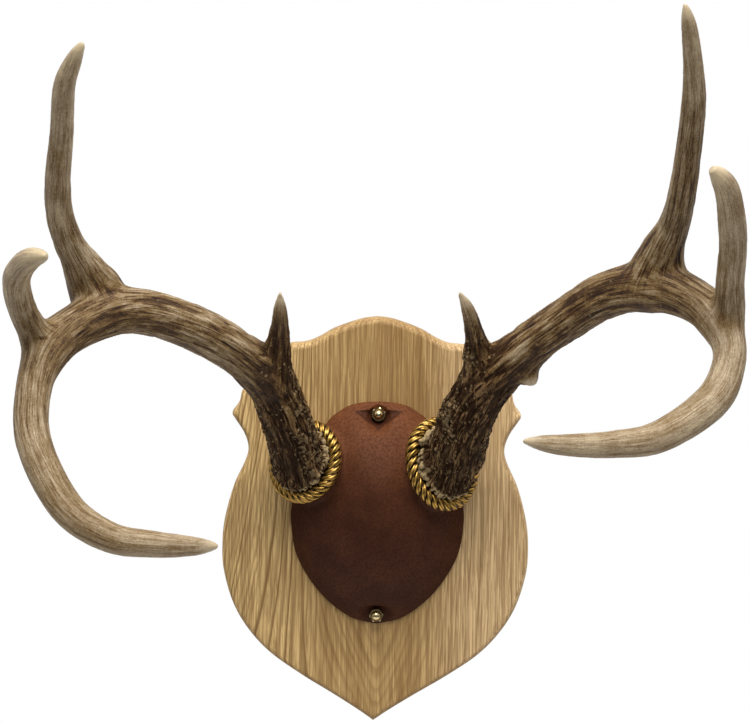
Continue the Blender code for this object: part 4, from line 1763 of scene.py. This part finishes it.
@dataclass
class OakPlaque:
    """Shield board with a routed front edge and a flat back."""

    height: float = 0.3556
    width: float = 0.2660
    thick: float = 0.0190
    routed_width: float = 0.0050
    routed_depth: float = 0.0060
    routed_steps: int = 8
    eased: float = 0.0010
    curves: tuple[tuple[Pair, ...], ...] = (
        ((0.000, 0.000), (0.004, 0.085), (0.014, 0.175), (0.030, 0.285), (0.049, 0.372),
         (0.062, 0.455), (0.066, 0.560)),
        ((0.066, 0.560), (0.080, 0.600), (0.108, 0.660), (0.142, 0.745), (0.165, 0.815),
         (0.178, 0.860), (0.185, 0.878)),
        ((0.185, 0.878), (0.202, 0.886), (0.218, 0.904), (0.236, 0.938), (0.251, 0.918),
         (0.285, 0.860), (0.322, 0.832), (0.360, 0.858), (0.420, 0.930), (0.500, 0.985),
         (0.562, 1.000), (0.625, 0.990), (0.705, 0.930), (0.770, 0.832), (0.830, 0.686),
         (0.885, 0.480), (0.935, 0.262), (0.975, 0.095), (1.000, 0.000)),
    )
    steps: tuple[int, int, int] = (24, 22, 130)

    def outline(self) -> np.ndarray:
        """Return the shield's outline, clockwise from the top as the viewer sees it.

        Returns:
            Points across and up, in metres.
        """
        half: list[np.ndarray] = []
        for curve, steps in zip(self.curves, self.steps):
            rows = [(share * self.width / 2, self.height / 2 - down * self.height)
                    for down, share in curve]
            points = curve_points(np.array(rows), steps)
            half.extend(points if not half else points[1:])
        right = np.array(half)
        right[0, 0] = 0.0
        right[-1, 0] = 0.0
        return np.vstack([right, right[-2:0:-1] * np.array([-1.0, 1.0])])

    @staticmethod
    def inset(points: np.ndarray, width: float) -> np.ndarray:
        """Return the outline moved inwards by a width, mitred at its corners.

        Args:
            points: the outline.
            width: how far it moves.

        Returns:
            As many points; where the line would cross itself at a corner they fall together.
        """
        before = points - np.roll(points, 1, axis=0)
        after = np.roll(before, -1, axis=0)
        first = np.stack([before[:, 1], -before[:, 0]], axis=1)
        second = np.stack([after[:, 1], -after[:, 0]], axis=1)
        first /= np.linalg.norm(first, axis=1)[:, None]
        second /= np.linalg.norm(second, axis=1)[:, None]
        middle = first + second
        middle /= np.linalg.norm(middle, axis=1)[:, None]
        straight = np.sum(middle * first, axis=1)
        moved = points + middle * (width / straight)[:, None]
        away = moved[:, None, :] - points[None, :, :]
        share = np.clip(np.sum(away * after, axis=2) / np.sum(after * after, axis=1), 0.0, 1.0)
        gap = np.linalg.norm(away - share[:, :, None] * after, axis=2).min(axis=1)
        crossed = gap < 0.985 * width
        settled = moved.copy()
        for i in np.flatnonzero(crossed):
            low = i
            high = i
            while crossed[low % len(points)]:
                low -= 1
            while crossed[high % len(points)]:
                high += 1
            settled[i] = (moved[low % len(points)] + moved[high % len(points)]) / 2
        return settled

    def build(self, finish: bpy.types.Material) -> bpy.types.Object:
        """Build and dress the plaque.

        Args:
            finish: the oak's material.

        Returns:
            The finished piece.
        """
        outline = self.outline()
        levels = [(0.0, self.eased), (self.eased * 0.3, self.eased * 0.3), (self.eased, 0.0)]
        levels.append((self.thick - self.routed_depth, 0.0))
        for step in range(1, self.routed_steps + 1):
            turn = step / self.routed_steps * math.pi / 2
            levels.append((self.thick - self.routed_depth + self.routed_depth * math.sin(turn),
                           self.routed_width * (1 - math.cos(turn))))
        verts: list[tuple[float, float, float]] = []
        for off, inward in levels:
            ring = self.inset(outline, inward) if inward else outline
            verts.extend((x, -off, z) for x, z in ring)
        size = len(outline)
        faces = ring_faces(size, len(levels), capped=False)
        for level, first in ((0, 0), (len(levels) - 1, (len(levels) - 1) * size)):
            off = levels[level][0]
            edge = self.inset(outline, levels[level][1])
            last = first
            rim = self.inset(outline, levels[level][1] + 0.0004)
            for ring in (rim, edge * 0.75, edge * 0.40):
                start = len(verts)
                verts.extend((x, -off, z) for x, z in ring)
                faces.extend((last + i, last + (i + 1) % size, start + (i + 1) % size, start + i)
                             for i in range(size))
                last = start
            middle = len(verts)
            verts.append((0.0, -off, 0.0))
            faces.extend((last + i, last + (i + 1) % size, middle) for i in range(size))
        obj = new_object("oak_plaque_routed", verts, faces)
        obj.data.shade_smooth()
        obj.data.set_sharp_from_angle(angle=math.radians(30))
        for face in obj.data.polygons:
            face.use_smooth = abs(face.normal.y) < 0.999
        settle(obj, "oak_plaque", finish)
        return obj


# Leather cover


@dataclass
class LeatherCover:
    """Domed egg of moulded leather, with a collar at each antler and a dimple at each bolt."""

    top: float = 0.1060
    foot: float = -0.0895
    half_width: float = 0.0750
    centre_x: float = BOLT_X
    crest_z: float = 0.0300
    dome: float = 0.0500
    edge: float = 0.0022
    seat: float = SEAT
    spokes: int = 160
    rings: int = 56
    floor: float = 0.0040
    pocket: float = 0.0078
    pocket_slope: float = 0.50
    top_hollow: tuple[float, float, float] = (0.0072, 3.4, 1.0)
    foot_hollow: tuple[float, float, float] = (0.0070, 3.0, 1.8)
    collar_radius: float = 0.0320
    rounds: int = 30
    voxel: float = 0.00100
    outline: tuple[Pair, ...] = (
        (0.000, 0.000), (0.003, 0.160), (0.018, 0.330), (0.045, 0.450), (0.085, 0.570),
        (0.200, 0.740), (0.330, 0.905), (0.475, 0.990), (0.550, 0.996), (0.665, 0.950),
        (0.755, 0.850), (0.850, 0.680), (0.930, 0.465), (0.979, 0.250), (1.000, 0.000),
    )

    def edge_table(self) -> tuple[np.ndarray, np.ndarray]:
        """Return the turns round the crest and the cover's reach at each.

        Returns:
            Turns and reaches, in the same order.
        """
        height = self.top - self.foot
        rows = [(share * self.half_width, self.top - down * height) for down, share in self.outline]
        edge = curve_points(np.array(rows), 400)
        return (np.arctan2(edge[:, 0], edge[:, 1] - self.crest_z),
                np.hypot(edge[:, 0], edge[:, 1] - self.crest_z))

    def funnel(self, x: np.ndarray, z: np.ndarray, bolt_z: float, radius: float,
               slope: float, spread: float) -> np.ndarray:
        """Return the height of the hollow pressed round one bolt.

        Args:
            x: places across.
            z: places up.
            bolt_z: the bolt's height.
            radius: the hollow's flat radius.
            slope: rise of its side.
            spread: how much wider the hollow is than high.

        Returns:
            The hollow's height above the plaque at each place.
        """
        away = np.hypot((x - self.centre_x) / spread, z - bolt_z)
        return self.floor + slope * np.maximum(0.0, away - radius)

    def height(self, x: np.ndarray, z: np.ndarray, out: np.ndarray) -> np.ndarray:
        """Return the leather's height above the plaque.

        Args:
            x: places across.
            z: places up.
            out: share of the way from the crest to the edge.

        Returns:
            One height per place.
        """
        dome = self.edge + self.dome * np.maximum(0.0, 1.0 - out ** 1.9) ** 0.95
        for hollow, soft in ((self.funnel(x, z, TOP_BOLT, *self.top_hollow), 0.0020),
                             (self.funnel(x, z, FOOT_BOLT, *self.foot_hollow), 0.0030)):
            share = np.clip(0.5 + 0.5 * (hollow - dome) / soft, 0, 1)
            dome = hollow * (1 - share) + dome * share - soft * share * (1 - share)
        wedge = self.wedge(x, z)
        floor = self.pocket + self.pocket_slope * np.maximum(0.0, WEDGE_TOP - z)
        dome = dome * (1 - wedge) + np.minimum(dome, floor) * wedge
        return np.maximum(self.edge, dome)

    def wedge(self, x: np.ndarray, z: np.ndarray) -> np.ndarray:
        """Return the share, 0 to 1, of the wedge pressed in at the top bolt.

        Args:
            x: places across.
            z: places up.

        Returns:
            One share per place.
        """
        side = np.abs(x - self.centre_x)
        inside = z - WEDGE_FOOT - WEDGE_SLOPE * side
        below = WEDGE_TOP - z - WEDGE_BOW * side * side
        return smooth_step(-0.0005, 0.0025, inside) * smooth_step(0.0, 0.0012, below)

    def shell(self) -> bpy.types.Object:
        """Return the dome as a closed mesh that runs a little into the plaque.

        Returns:
            The new object.
        """
        turns = np.linspace(-math.pi, math.pi, self.spokes, endpoint=False)
        reach = np.interp(np.abs(turns), *self.edge_table())
        verts: list[tuple[float, float, float]] = []
        for off in (self.seat - 0.004, self.seat + self.edge):
            verts.extend((self.centre_x + r * math.sin(t), -off, self.crest_z + r * math.cos(t))
                         for r, t in zip(reach, turns))
        for j in range(1, self.rings):
            out = math.sin(math.pi / 2 * (1 - j / self.rings))
            x = self.centre_x + out * reach * np.sin(turns)
            z = self.crest_z + out * reach * np.cos(turns)
            high = self.seat + self.height(x, z, np.full_like(x, out))
            verts.extend(zip(x, -high, z))
        faces = ring_faces(self.spokes, self.rings + 1)
        return new_object("leather_cover_moulded", verts, faces)

    def socket_profile(self) -> tuple[Pair, ...]:
        """Return the profile of the space kept for one antler's base and rope.

        Returns:
            Distances along the axis and radii.
        """
        groove = ROPE_THICK / 2 + 0.0003
        rows = [(-groove * 0.5, 0.0228)]
        for step in range(9):
            turn = math.radians(200 + 160 * step / 8)
            rows.append((groove * math.sin(turn), RING_RADIUS + groove * math.cos(turn)))
        rows.append((0.0450, RING_RADIUS + groove + 0.0015))
        return tuple(rows)

    def build(self, bases: tuple[Base, ...], finish: bpy.types.Material) -> bpy.types.Object:
        """Build and dress the cover.

        Args:
            bases: where the antlers stand.
            finish: the leather's material.

        Returns:
            The finished piece.
        """
        obj = self.shell()
        rows = ((-0.004, self.collar_radius), (0.001, self.collar_radius))
        cut(obj, [base.column("collar", rows, 90, self.seat - 0.002) for base in bases], "UNION")
        square = ((-0.3, -0.3), (0.3, -0.3), (0.3, 0.3), (-0.3, 0.3))
        block = [(x, -off, z) for off in (0.0, self.seat) for x, z in square]
        cut(obj, [new_object("trim", block, ring_faces(4, 2))], "DIFFERENCE")
        remeshed(obj, self.voxel)
        mesh = obj.data
        edges = read_edges(mesh)
        places = read_points(mesh)
        loose = smooth_step(self.seat + 0.0008, self.seat + 0.0040, -places[:, 1])
        crease = np.hypot((places[:, 0] - self.centre_x) / 2.2, places[:, 2] - TOP_BOLT)
        loose = loose * smooth_step(0.009, 0.017, crease)
        places = relaxed(places, edges, 0.5 * loose, self.rounds)
        write_points(mesh, places)
        sockets = [base.column("socket", self.socket_profile(), 90, 0.013) for base in bases]
        cut(obj, sockets, "DIFFERENCE")
        obj.data.shade_smooth()
        obj.data.set_sharp_from_angle(angle=math.radians(50))
        settle(obj, "leather_cover", finish)
        return obj


# Rope trims


@dataclass
class RopeTrim:
    """Twisted cord of three strands laid round one antler's base."""

    side: Side
    base: Base
    ring_radius: float = RING_RADIUS
    thick: float = ROPE_THICK
    strands: int = 3
    turns: int = 11
    steps: int = 440
    profile: int = 28
    yarns: int = 6
    yarn_twist: int = 16
    yarn_height: float = 0.00026
    seed: int = 3

    def values(self) -> dict[str, tuple[float, float, float] | float | int]:
        """Return the names and values of the geometry tree's inputs, in order.

        Returns:
            Values by name.
        """
        centre, along, side, up = (tuple(part) for part in self.base.frame())
        return {
            "Centre": centre, "Side": side, "Up": up, "Along": along,
            "Ring Radius": self.ring_radius, "Thickness": self.thick, "Turns": self.turns,
            "Strands": self.strands, "Steps": self.steps, "Yarns": self.yarns,
            "Yarn Twist": self.yarn_twist, "Yarn Height": self.yarn_height, "Seed": self.seed,
        }

    def tree(self, material: bpy.types.Material) -> bpy.types.NodeTree:
        """Return the geometry tree that lays the strands round the ring.

        Args:
            material: the thread's material.

        Returns:
            The tree.
        """
        tree = bpy.data.node_groups.new("Twisted Cord", "GeometryNodeTree")
        face = tree.interface
        kinds = {tuple: "NodeSocketVector", float: "NodeSocketFloat", int: "NodeSocketInt"}
        for title, value in self.values().items():
            face.new_socket(title, in_out="INPUT", socket_type=kinds[type(value)])
        face.new_socket("Geometry", in_out="OUTPUT", socket_type="NodeSocketGeometry")
        s = Shading(tree)
        start = s.node("NodeGroupInput").outputs
        tau = 2 * math.pi

        # One rail per strand: a closed line of points, numbered round the ring
        rail = s.node("GeometryNodeCurvePrimitiveCircle")
        s.feed(rail.inputs["Resolution"], start["Steps"])
        s.feed(rail.inputs["Radius"], 1.0)
        copies = s.node("GeometryNodeDuplicateElements", domain="SPLINE")
        s.feed(copies.inputs["Geometry"], rail.outputs["Curve"])
        s.feed(copies.inputs["Amount"], start["Strands"])
        keep = s.node("GeometryNodeCaptureAttribute", domain="CURVE")
        keep.capture_items.new("INT", "Strand")
        s.feed(keep.inputs["Geometry"], copies.outputs["Geometry"])
        s.feed(keep.inputs["Strand"], copies.outputs["Duplicate Index"])
        share = s.node("GeometryNodeSplineParameter").outputs["Index"]
        turn = s.times(s.math("DIVIDE", share, start["Steps"]), tau)
        corner = s.times(s.math("DIVIDE", keep.outputs["Strand"], start["Strands"]), tau)
        corner = s.added(turn, start["Turns"], corner)

        def scaled(vector: object, number: object) -> bpy.types.NodeSocket:
            """Return a vector times a number.

            Args:
                vector: the vector.
                number: the number.

            Returns:
                The socket that gives it.
            """
            made = s.node("ShaderNodeVectorMath", operation="SCALE")
            s.feed(made.inputs[0], vector)
            s.feed(made.inputs["Scale"], number)
            return made.outputs["Vector"]

        cos_turn = s.math("COSINE", turn)
        sin_turn = s.math("SINE", turn)
        spoke = s.vector("ADD", scaled(start["Side"], cos_turn), scaled(start["Up"], sin_turn))
        middle = s.vector("ADD", start["Centre"], scaled(spoke, start["Ring Radius"]))
        oval = s.length(start["Up"])
        flat = s.math("DIVIDE", sin_turn, s.times(oval, oval))
        outward = s.vector("ADD", scaled(start["Side"], cos_turn), scaled(start["Up"], flat))
        outward = s.vector("NORMALIZE", outward)
        radius = s.times(start["Thickness"], 0.5)
        lay = s.times(radius, 0.53)
        spin = s.vector("ADD", scaled(outward, s.math("COSINE", corner)),
                        scaled(start["Along"], s.math("SINE", corner)))
        place = s.vector("ADD", middle, scaled(spin, lay))
        laid = s.node("GeometryNodeSetPosition")
        s.feed(laid.inputs["Geometry"], keep.outputs["Geometry"])
        s.feed(laid.inputs["Position"], place)

        def stored(geometry: object, title: str, kind: str, value: object) -> bpy.types.NodeSocket:
            """Store a value on the points and pass the geometry on.

            Args:
                geometry: the geometry.
                title: the value's name.
                kind: its type.
                value: the value.

            Returns:
                The geometry that holds it.
            """
            made = s.node("GeometryNodeStoreNamedAttribute", data_type=kind, domain="POINT")
            s.feed(made.inputs["Geometry"], geometry)
            s.feed(made.inputs["Name"], title)
            s.feed(made.inputs["Value"], value)
            return made.outputs["Geometry"]

        def named(title: str, kind: str) -> bpy.types.NodeSocket:
            """Read a stored value.

            Args:
                title: the value's name.
                kind: its type.

            Returns:
                The socket that gives it.
            """
            made = s.node("GeometryNodeInputNamedAttribute", data_type=kind)
            s.feed(made.inputs["Name"], title)
            return made.outputs["Attribute"]

        line = stored(laid.outputs["Geometry"], "middle", "FLOAT_VECTOR", middle)
        line = stored(line, "rail", "FLOAT", turn)
        section = s.node("GeometryNodeCurvePrimitiveCircle")
        s.feed(section.inputs["Resolution"], self.profile)
        s.feed(section.inputs["Radius"], 1.0)
        point = s.node("GeometryNodeSplineParameter").outputs["Index"]
        around = stored(section.outputs["Curve"], "round", "FLOAT",
                        s.times(s.math("DIVIDE", point, float(self.profile)), tau))
        # A thread is a little thicker in some places than in others
        uneven = s.node("ShaderNodeTexNoise", noise_dimensions="4D")
        s.feed(uneven.inputs["Vector"], place)
        s.feed(uneven.inputs["W"], start["Seed"])
        s.feed(uneven.inputs["Scale"], 120.0)
        body = s.added(uneven.outputs["Fac"], 0.06, 0.455)
        swept = s.node("GeometryNodeCurveToMesh")
        s.feed(swept.inputs["Curve"], line)
        s.feed(swept.inputs["Profile Curve"], around)
        s.feed(swept.inputs["Scale"], s.times(body, radius))
        phase = s.times(named("round", "FLOAT"), start["Yarns"])
        phase = s.added(named("rail", "FLOAT"), start["Yarn Twist"], phase)
        yarn = s.math("SINE", phase)
        shaped = s.node("GeometryNodeSetPosition")
        s.feed(shaped.inputs["Geometry"], swept.outputs["Mesh"])
        normal = s.node("GeometryNodeInputNormal").outputs["Normal"]
        s.feed(shaped.inputs["Offset"], scaled(normal, s.times(yarn, start["Yarn Height"])))
        mesh = stored(shaped.outputs["Geometry"], "yarn", "FLOAT", yarn)
        here = s.node("GeometryNodeInputPosition").outputs["Position"]
        deep = s.length(s.vector("SUBTRACT", here, named("middle", "FLOAT_VECTOR")))
        mesh = stored(mesh, "depth", "FLOAT", s.math("DIVIDE", deep, radius))
        smooth = s.node("GeometryNodeSetShadeSmooth")
        s.feed(smooth.inputs["Geometry"], mesh)
        real = s.node("GeometryNodeRealizeInstances")
        s.feed(real.inputs["Geometry"], smooth.outputs["Geometry"])
        coat = s.node("GeometryNodeSetMaterial")
        s.feed(coat.inputs["Geometry"], real.outputs["Geometry"])
        coat.inputs["Material"].default_value = material
        end = s.node("NodeGroupOutput")
        s.feed(end.inputs["Geometry"], coat.outputs["Geometry"])
        return tree

    def build(self, finish: bpy.types.Material) -> bpy.types.Object:
        """Build and dress the rope.

        Args:
            finish: the thread's material.

        Returns:
            The finished piece.
        """
        obj = new_object(f"rope_trim_{self.side.value}_twisted", [], [])
        modifier = obj.modifiers.new("cord", "NODES")
        modifier.node_group = self.tree(finish)
        values = self.values()
        for item in modifier.node_group.interface.items_tree:
            if item.in_out == "INPUT":
                modifier[item.identifier] = values[item.name]
        baked(obj)
        with edited(obj.data) as bm:
            bmesh.ops.recalc_face_normals(bm, faces=bm.faces)
        settle(obj, f"rope_trim_{self.side.value}", finish)
        return obj


# Cap nuts


@dataclass
class CapNut:
    """Acorn nut: a chamfered hexagon under a round cap."""

    node: str
    bolt_z: float
    turn: float
    bolt_x: float = BOLT_X
    seat: float = 0.0236
    across_flats: float = 0.0111
    hex_height: float = 0.0058
    dome_radius: float = 0.0044
    dome_height: float = 0.0046
    sides: int = 72

    def hexagon(self, angle: float) -> float:
        """Return the hexagon's reach in a direction."""
        part = (angle - self.turn) % (math.pi / 3) - math.pi / 6
        return self.across_flats / 2 / math.cos(part)

    def build(self, finish: bpy.types.Material) -> bpy.types.Object:
        """Build and dress the nut.

        Args:
            finish: the brass.

        Returns:
            The finished piece.
        """
        flat = self.across_flats / 2
        corner = flat / math.cos(math.pi / 6)
        rows: list[tuple[float, float, float]] = [
            (0.0, flat * 0.985, 0.35), (0.0005, corner * 0.985, 0.30), (0.0012, corner, 0.05),
            (self.hex_height - 0.0012, corner, 0.0), (self.hex_height - 0.0005, corner * 0.965, 0.0),
            (self.hex_height, flat * 0.985, 0.25), (self.hex_height, self.dome_radius + 0.0001, 0.6),
        ]
        for step in range(15):
            rise = math.radians(88) * step / 14
            rows.append((self.hex_height + 0.0002 + self.dome_height * math.sin(rise) - 0.0004,
                         self.dome_radius * math.cos(rise), 0.35 if step == 0 else 0.0))
        verts: list[tuple[float, float, float]] = []
        tarnish: list[float] = []
        for off, reach, dull in rows:
            for i in range(self.sides):
                angle = 2 * math.pi * i / self.sides
                radius = min(reach, self.hexagon(angle)) if reach > self.dome_radius else reach
                verts.append((self.bolt_x + radius * math.sin(angle), -(self.seat + off),
                              self.bolt_z + radius * math.cos(angle)))
                tarnish.append(dull)
        obj = new_object(f"{self.node}_acorn", verts, ring_faces(self.sides, len(rows)))
        places = read_points(obj.data)
        table = {tuple(round(c * 1e5) for c in v): t for v, t in zip(verts, tarnish)}
        dull = [table.get(tuple(round(c * 1e5) for c in p), 0.0) for p in places]
        store(obj.data, "tarnish", np.array(dull))
        obj.data.shade_smooth()
        obj.data.set_sharp_from_angle(angle=math.radians(28))
        settle(obj, self.node, finish)
        return obj


# Studio


@dataclass
class Studio:
    """Pale floor, soft light from above and the camera at the photo's angle."""

    floor_z: float = -1.1
    floor_half: float = 1.6
    lens: float = 111.85
    elevation: float = 7.5
    roll: float = 0.7
    target: tuple[float, float, float] = (-0.00214, -0.019, 0.14045)
    distance: float = 2.0
    lamp_place: tuple[float, float, float] = (0.08, -1.15, 2.1)
    lamp_size: float = 1.6
    lamp_power: float = 74.0
    aim: tuple[float, float, float] = (0.0, -0.1, 0.1)

    def floor(self) -> None:
        """Lay the floor."""
        square = ((-1, -1), (1, -1), (1, 1), (-1, 1))
        verts = [(x * self.floor_half, y * self.floor_half, self.floor_z) for x, y in square]
        obj = new_object("floor", verts, [(0, 1, 2, 3)])
        obj.data.materials.append(FloorFinish().material())
        obj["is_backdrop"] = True

    def sky(self) -> None:
        """Fill the room with soft white light that fades towards the ground."""
        world = bpy.data.worlds.new("studio")
        bpy.context.scene.world = world
        world.use_nodes = True
        s = Shading(world.node_tree)
        axes = s.axes(s.place("Generated"))
        low = s.remap(axes["Z"], -0.60, -0.29, 0.10, 1.0)
        front = s.remap(axes["Z"], -0.25, 0.85, 0.12, 0.95)
        level = s.blend(s.remap(axes["Y"], -0.25, 0.45), front, low)
        background = world.node_tree.nodes["Background"]
        background.inputs["Color"].default_value = (1.0, 1.0, 1.0, 1.0)
        s.feed(background.inputs["Strength"], level)

    def lamp(self) -> None:
        """Hang one soft square lamp that faces the mount."""
        light = bpy.data.lights.new("lamp_above", "AREA")
        light.size = self.lamp_size
        light.energy = self.lamp_power
        obj = linked("lamp_above", light)
        obj.location = self.lamp_place
        aim = Vector(self.aim) - Vector(self.lamp_place)
        obj.rotation_mode = "QUATERNION"
        obj.rotation_quaternion = aim.to_track_quat("-Z", "Y")
        obj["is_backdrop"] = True

    def camera(self) -> None:
        """Place the camera where the photo was taken from."""
        data = bpy.data.cameras.new("camera")
        data.lens = self.lens
        data.sensor_width = 36.0
        data.clip_start = 0.05
        obj = linked("camera", data)
        tilt = math.radians(self.elevation)
        roll = math.radians(self.roll)
        look = Vector((0.0, math.cos(tilt), -math.sin(tilt)))
        right = Vector((1.0, 0.0, 0.0))
        up = Vector((0.0, math.sin(tilt), math.cos(tilt)))
        turned_right = right * math.cos(roll) + up * math.sin(roll)
        turned_up = up * math.cos(roll) - right * math.sin(roll)
        matrix = Matrix((turned_right, turned_up, -look)).transposed().to_4x4()
        matrix.translation = Vector(self.target) - look * self.distance
        obj.matrix_world = matrix
        bpy.context.scene.camera = obj
        obj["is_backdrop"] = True

    def build(self) -> None:
        """Set the whole stage."""
        self.floor()
        self.sky()
        self.lamp()
        self.camera()
        bpy.context.scene.view_settings.view_transform = "Standard"
        LOG.info("stage set")


def held_inside(obj: bpy.types.Object, box: list[list[float]]) -> None:
    """Bring a piece's points inside a box."""
    write_points(obj.data, np.clip(read_points(obj.data), box[0], box[1]))


def corners() -> list[list[float]]:
    """Return the object's lowest and highest corner as plain lists."""
    low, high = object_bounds()
    return [list(low), list(high)]


def main() -> None:
    """Build every piece, keep it inside the imported model's bounds and set the stage."""
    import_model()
    before = corners()
    effects = Effects.make()
    antler = AntlerFinish().material(effects)
    leather = LeatherFinish().material(effects)
    rope = RopeFinish().material(effects)
    brass = BrassFinish().material(effects)
    pieces = [
        OakPlaque().build(OakFinish().material(effects)),
        LeatherCover().build((LEFT_BASE, RIGHT_BASE), leather),
        left_antler().build(antler),
        right_antler().build(antler),
        RopeTrim(Side.LEFT, LEFT_BASE).build(rope),
        RopeTrim(Side.RIGHT, RIGHT_BASE).build(rope),
        CapNut("cap_nut_top", TOP_BOLT, math.radians(12)).build(brass),
        CapNut("cap_nut_bottom", FOOT_BOLT, math.radians(25)).build(brass),
    ]
    for piece in pieces:
        held_inside(piece, before)
    Studio().build()


if __name__ == "__main__":
    logging.basicConfig(level=logging.INFO, format="%(message)s")
    main()
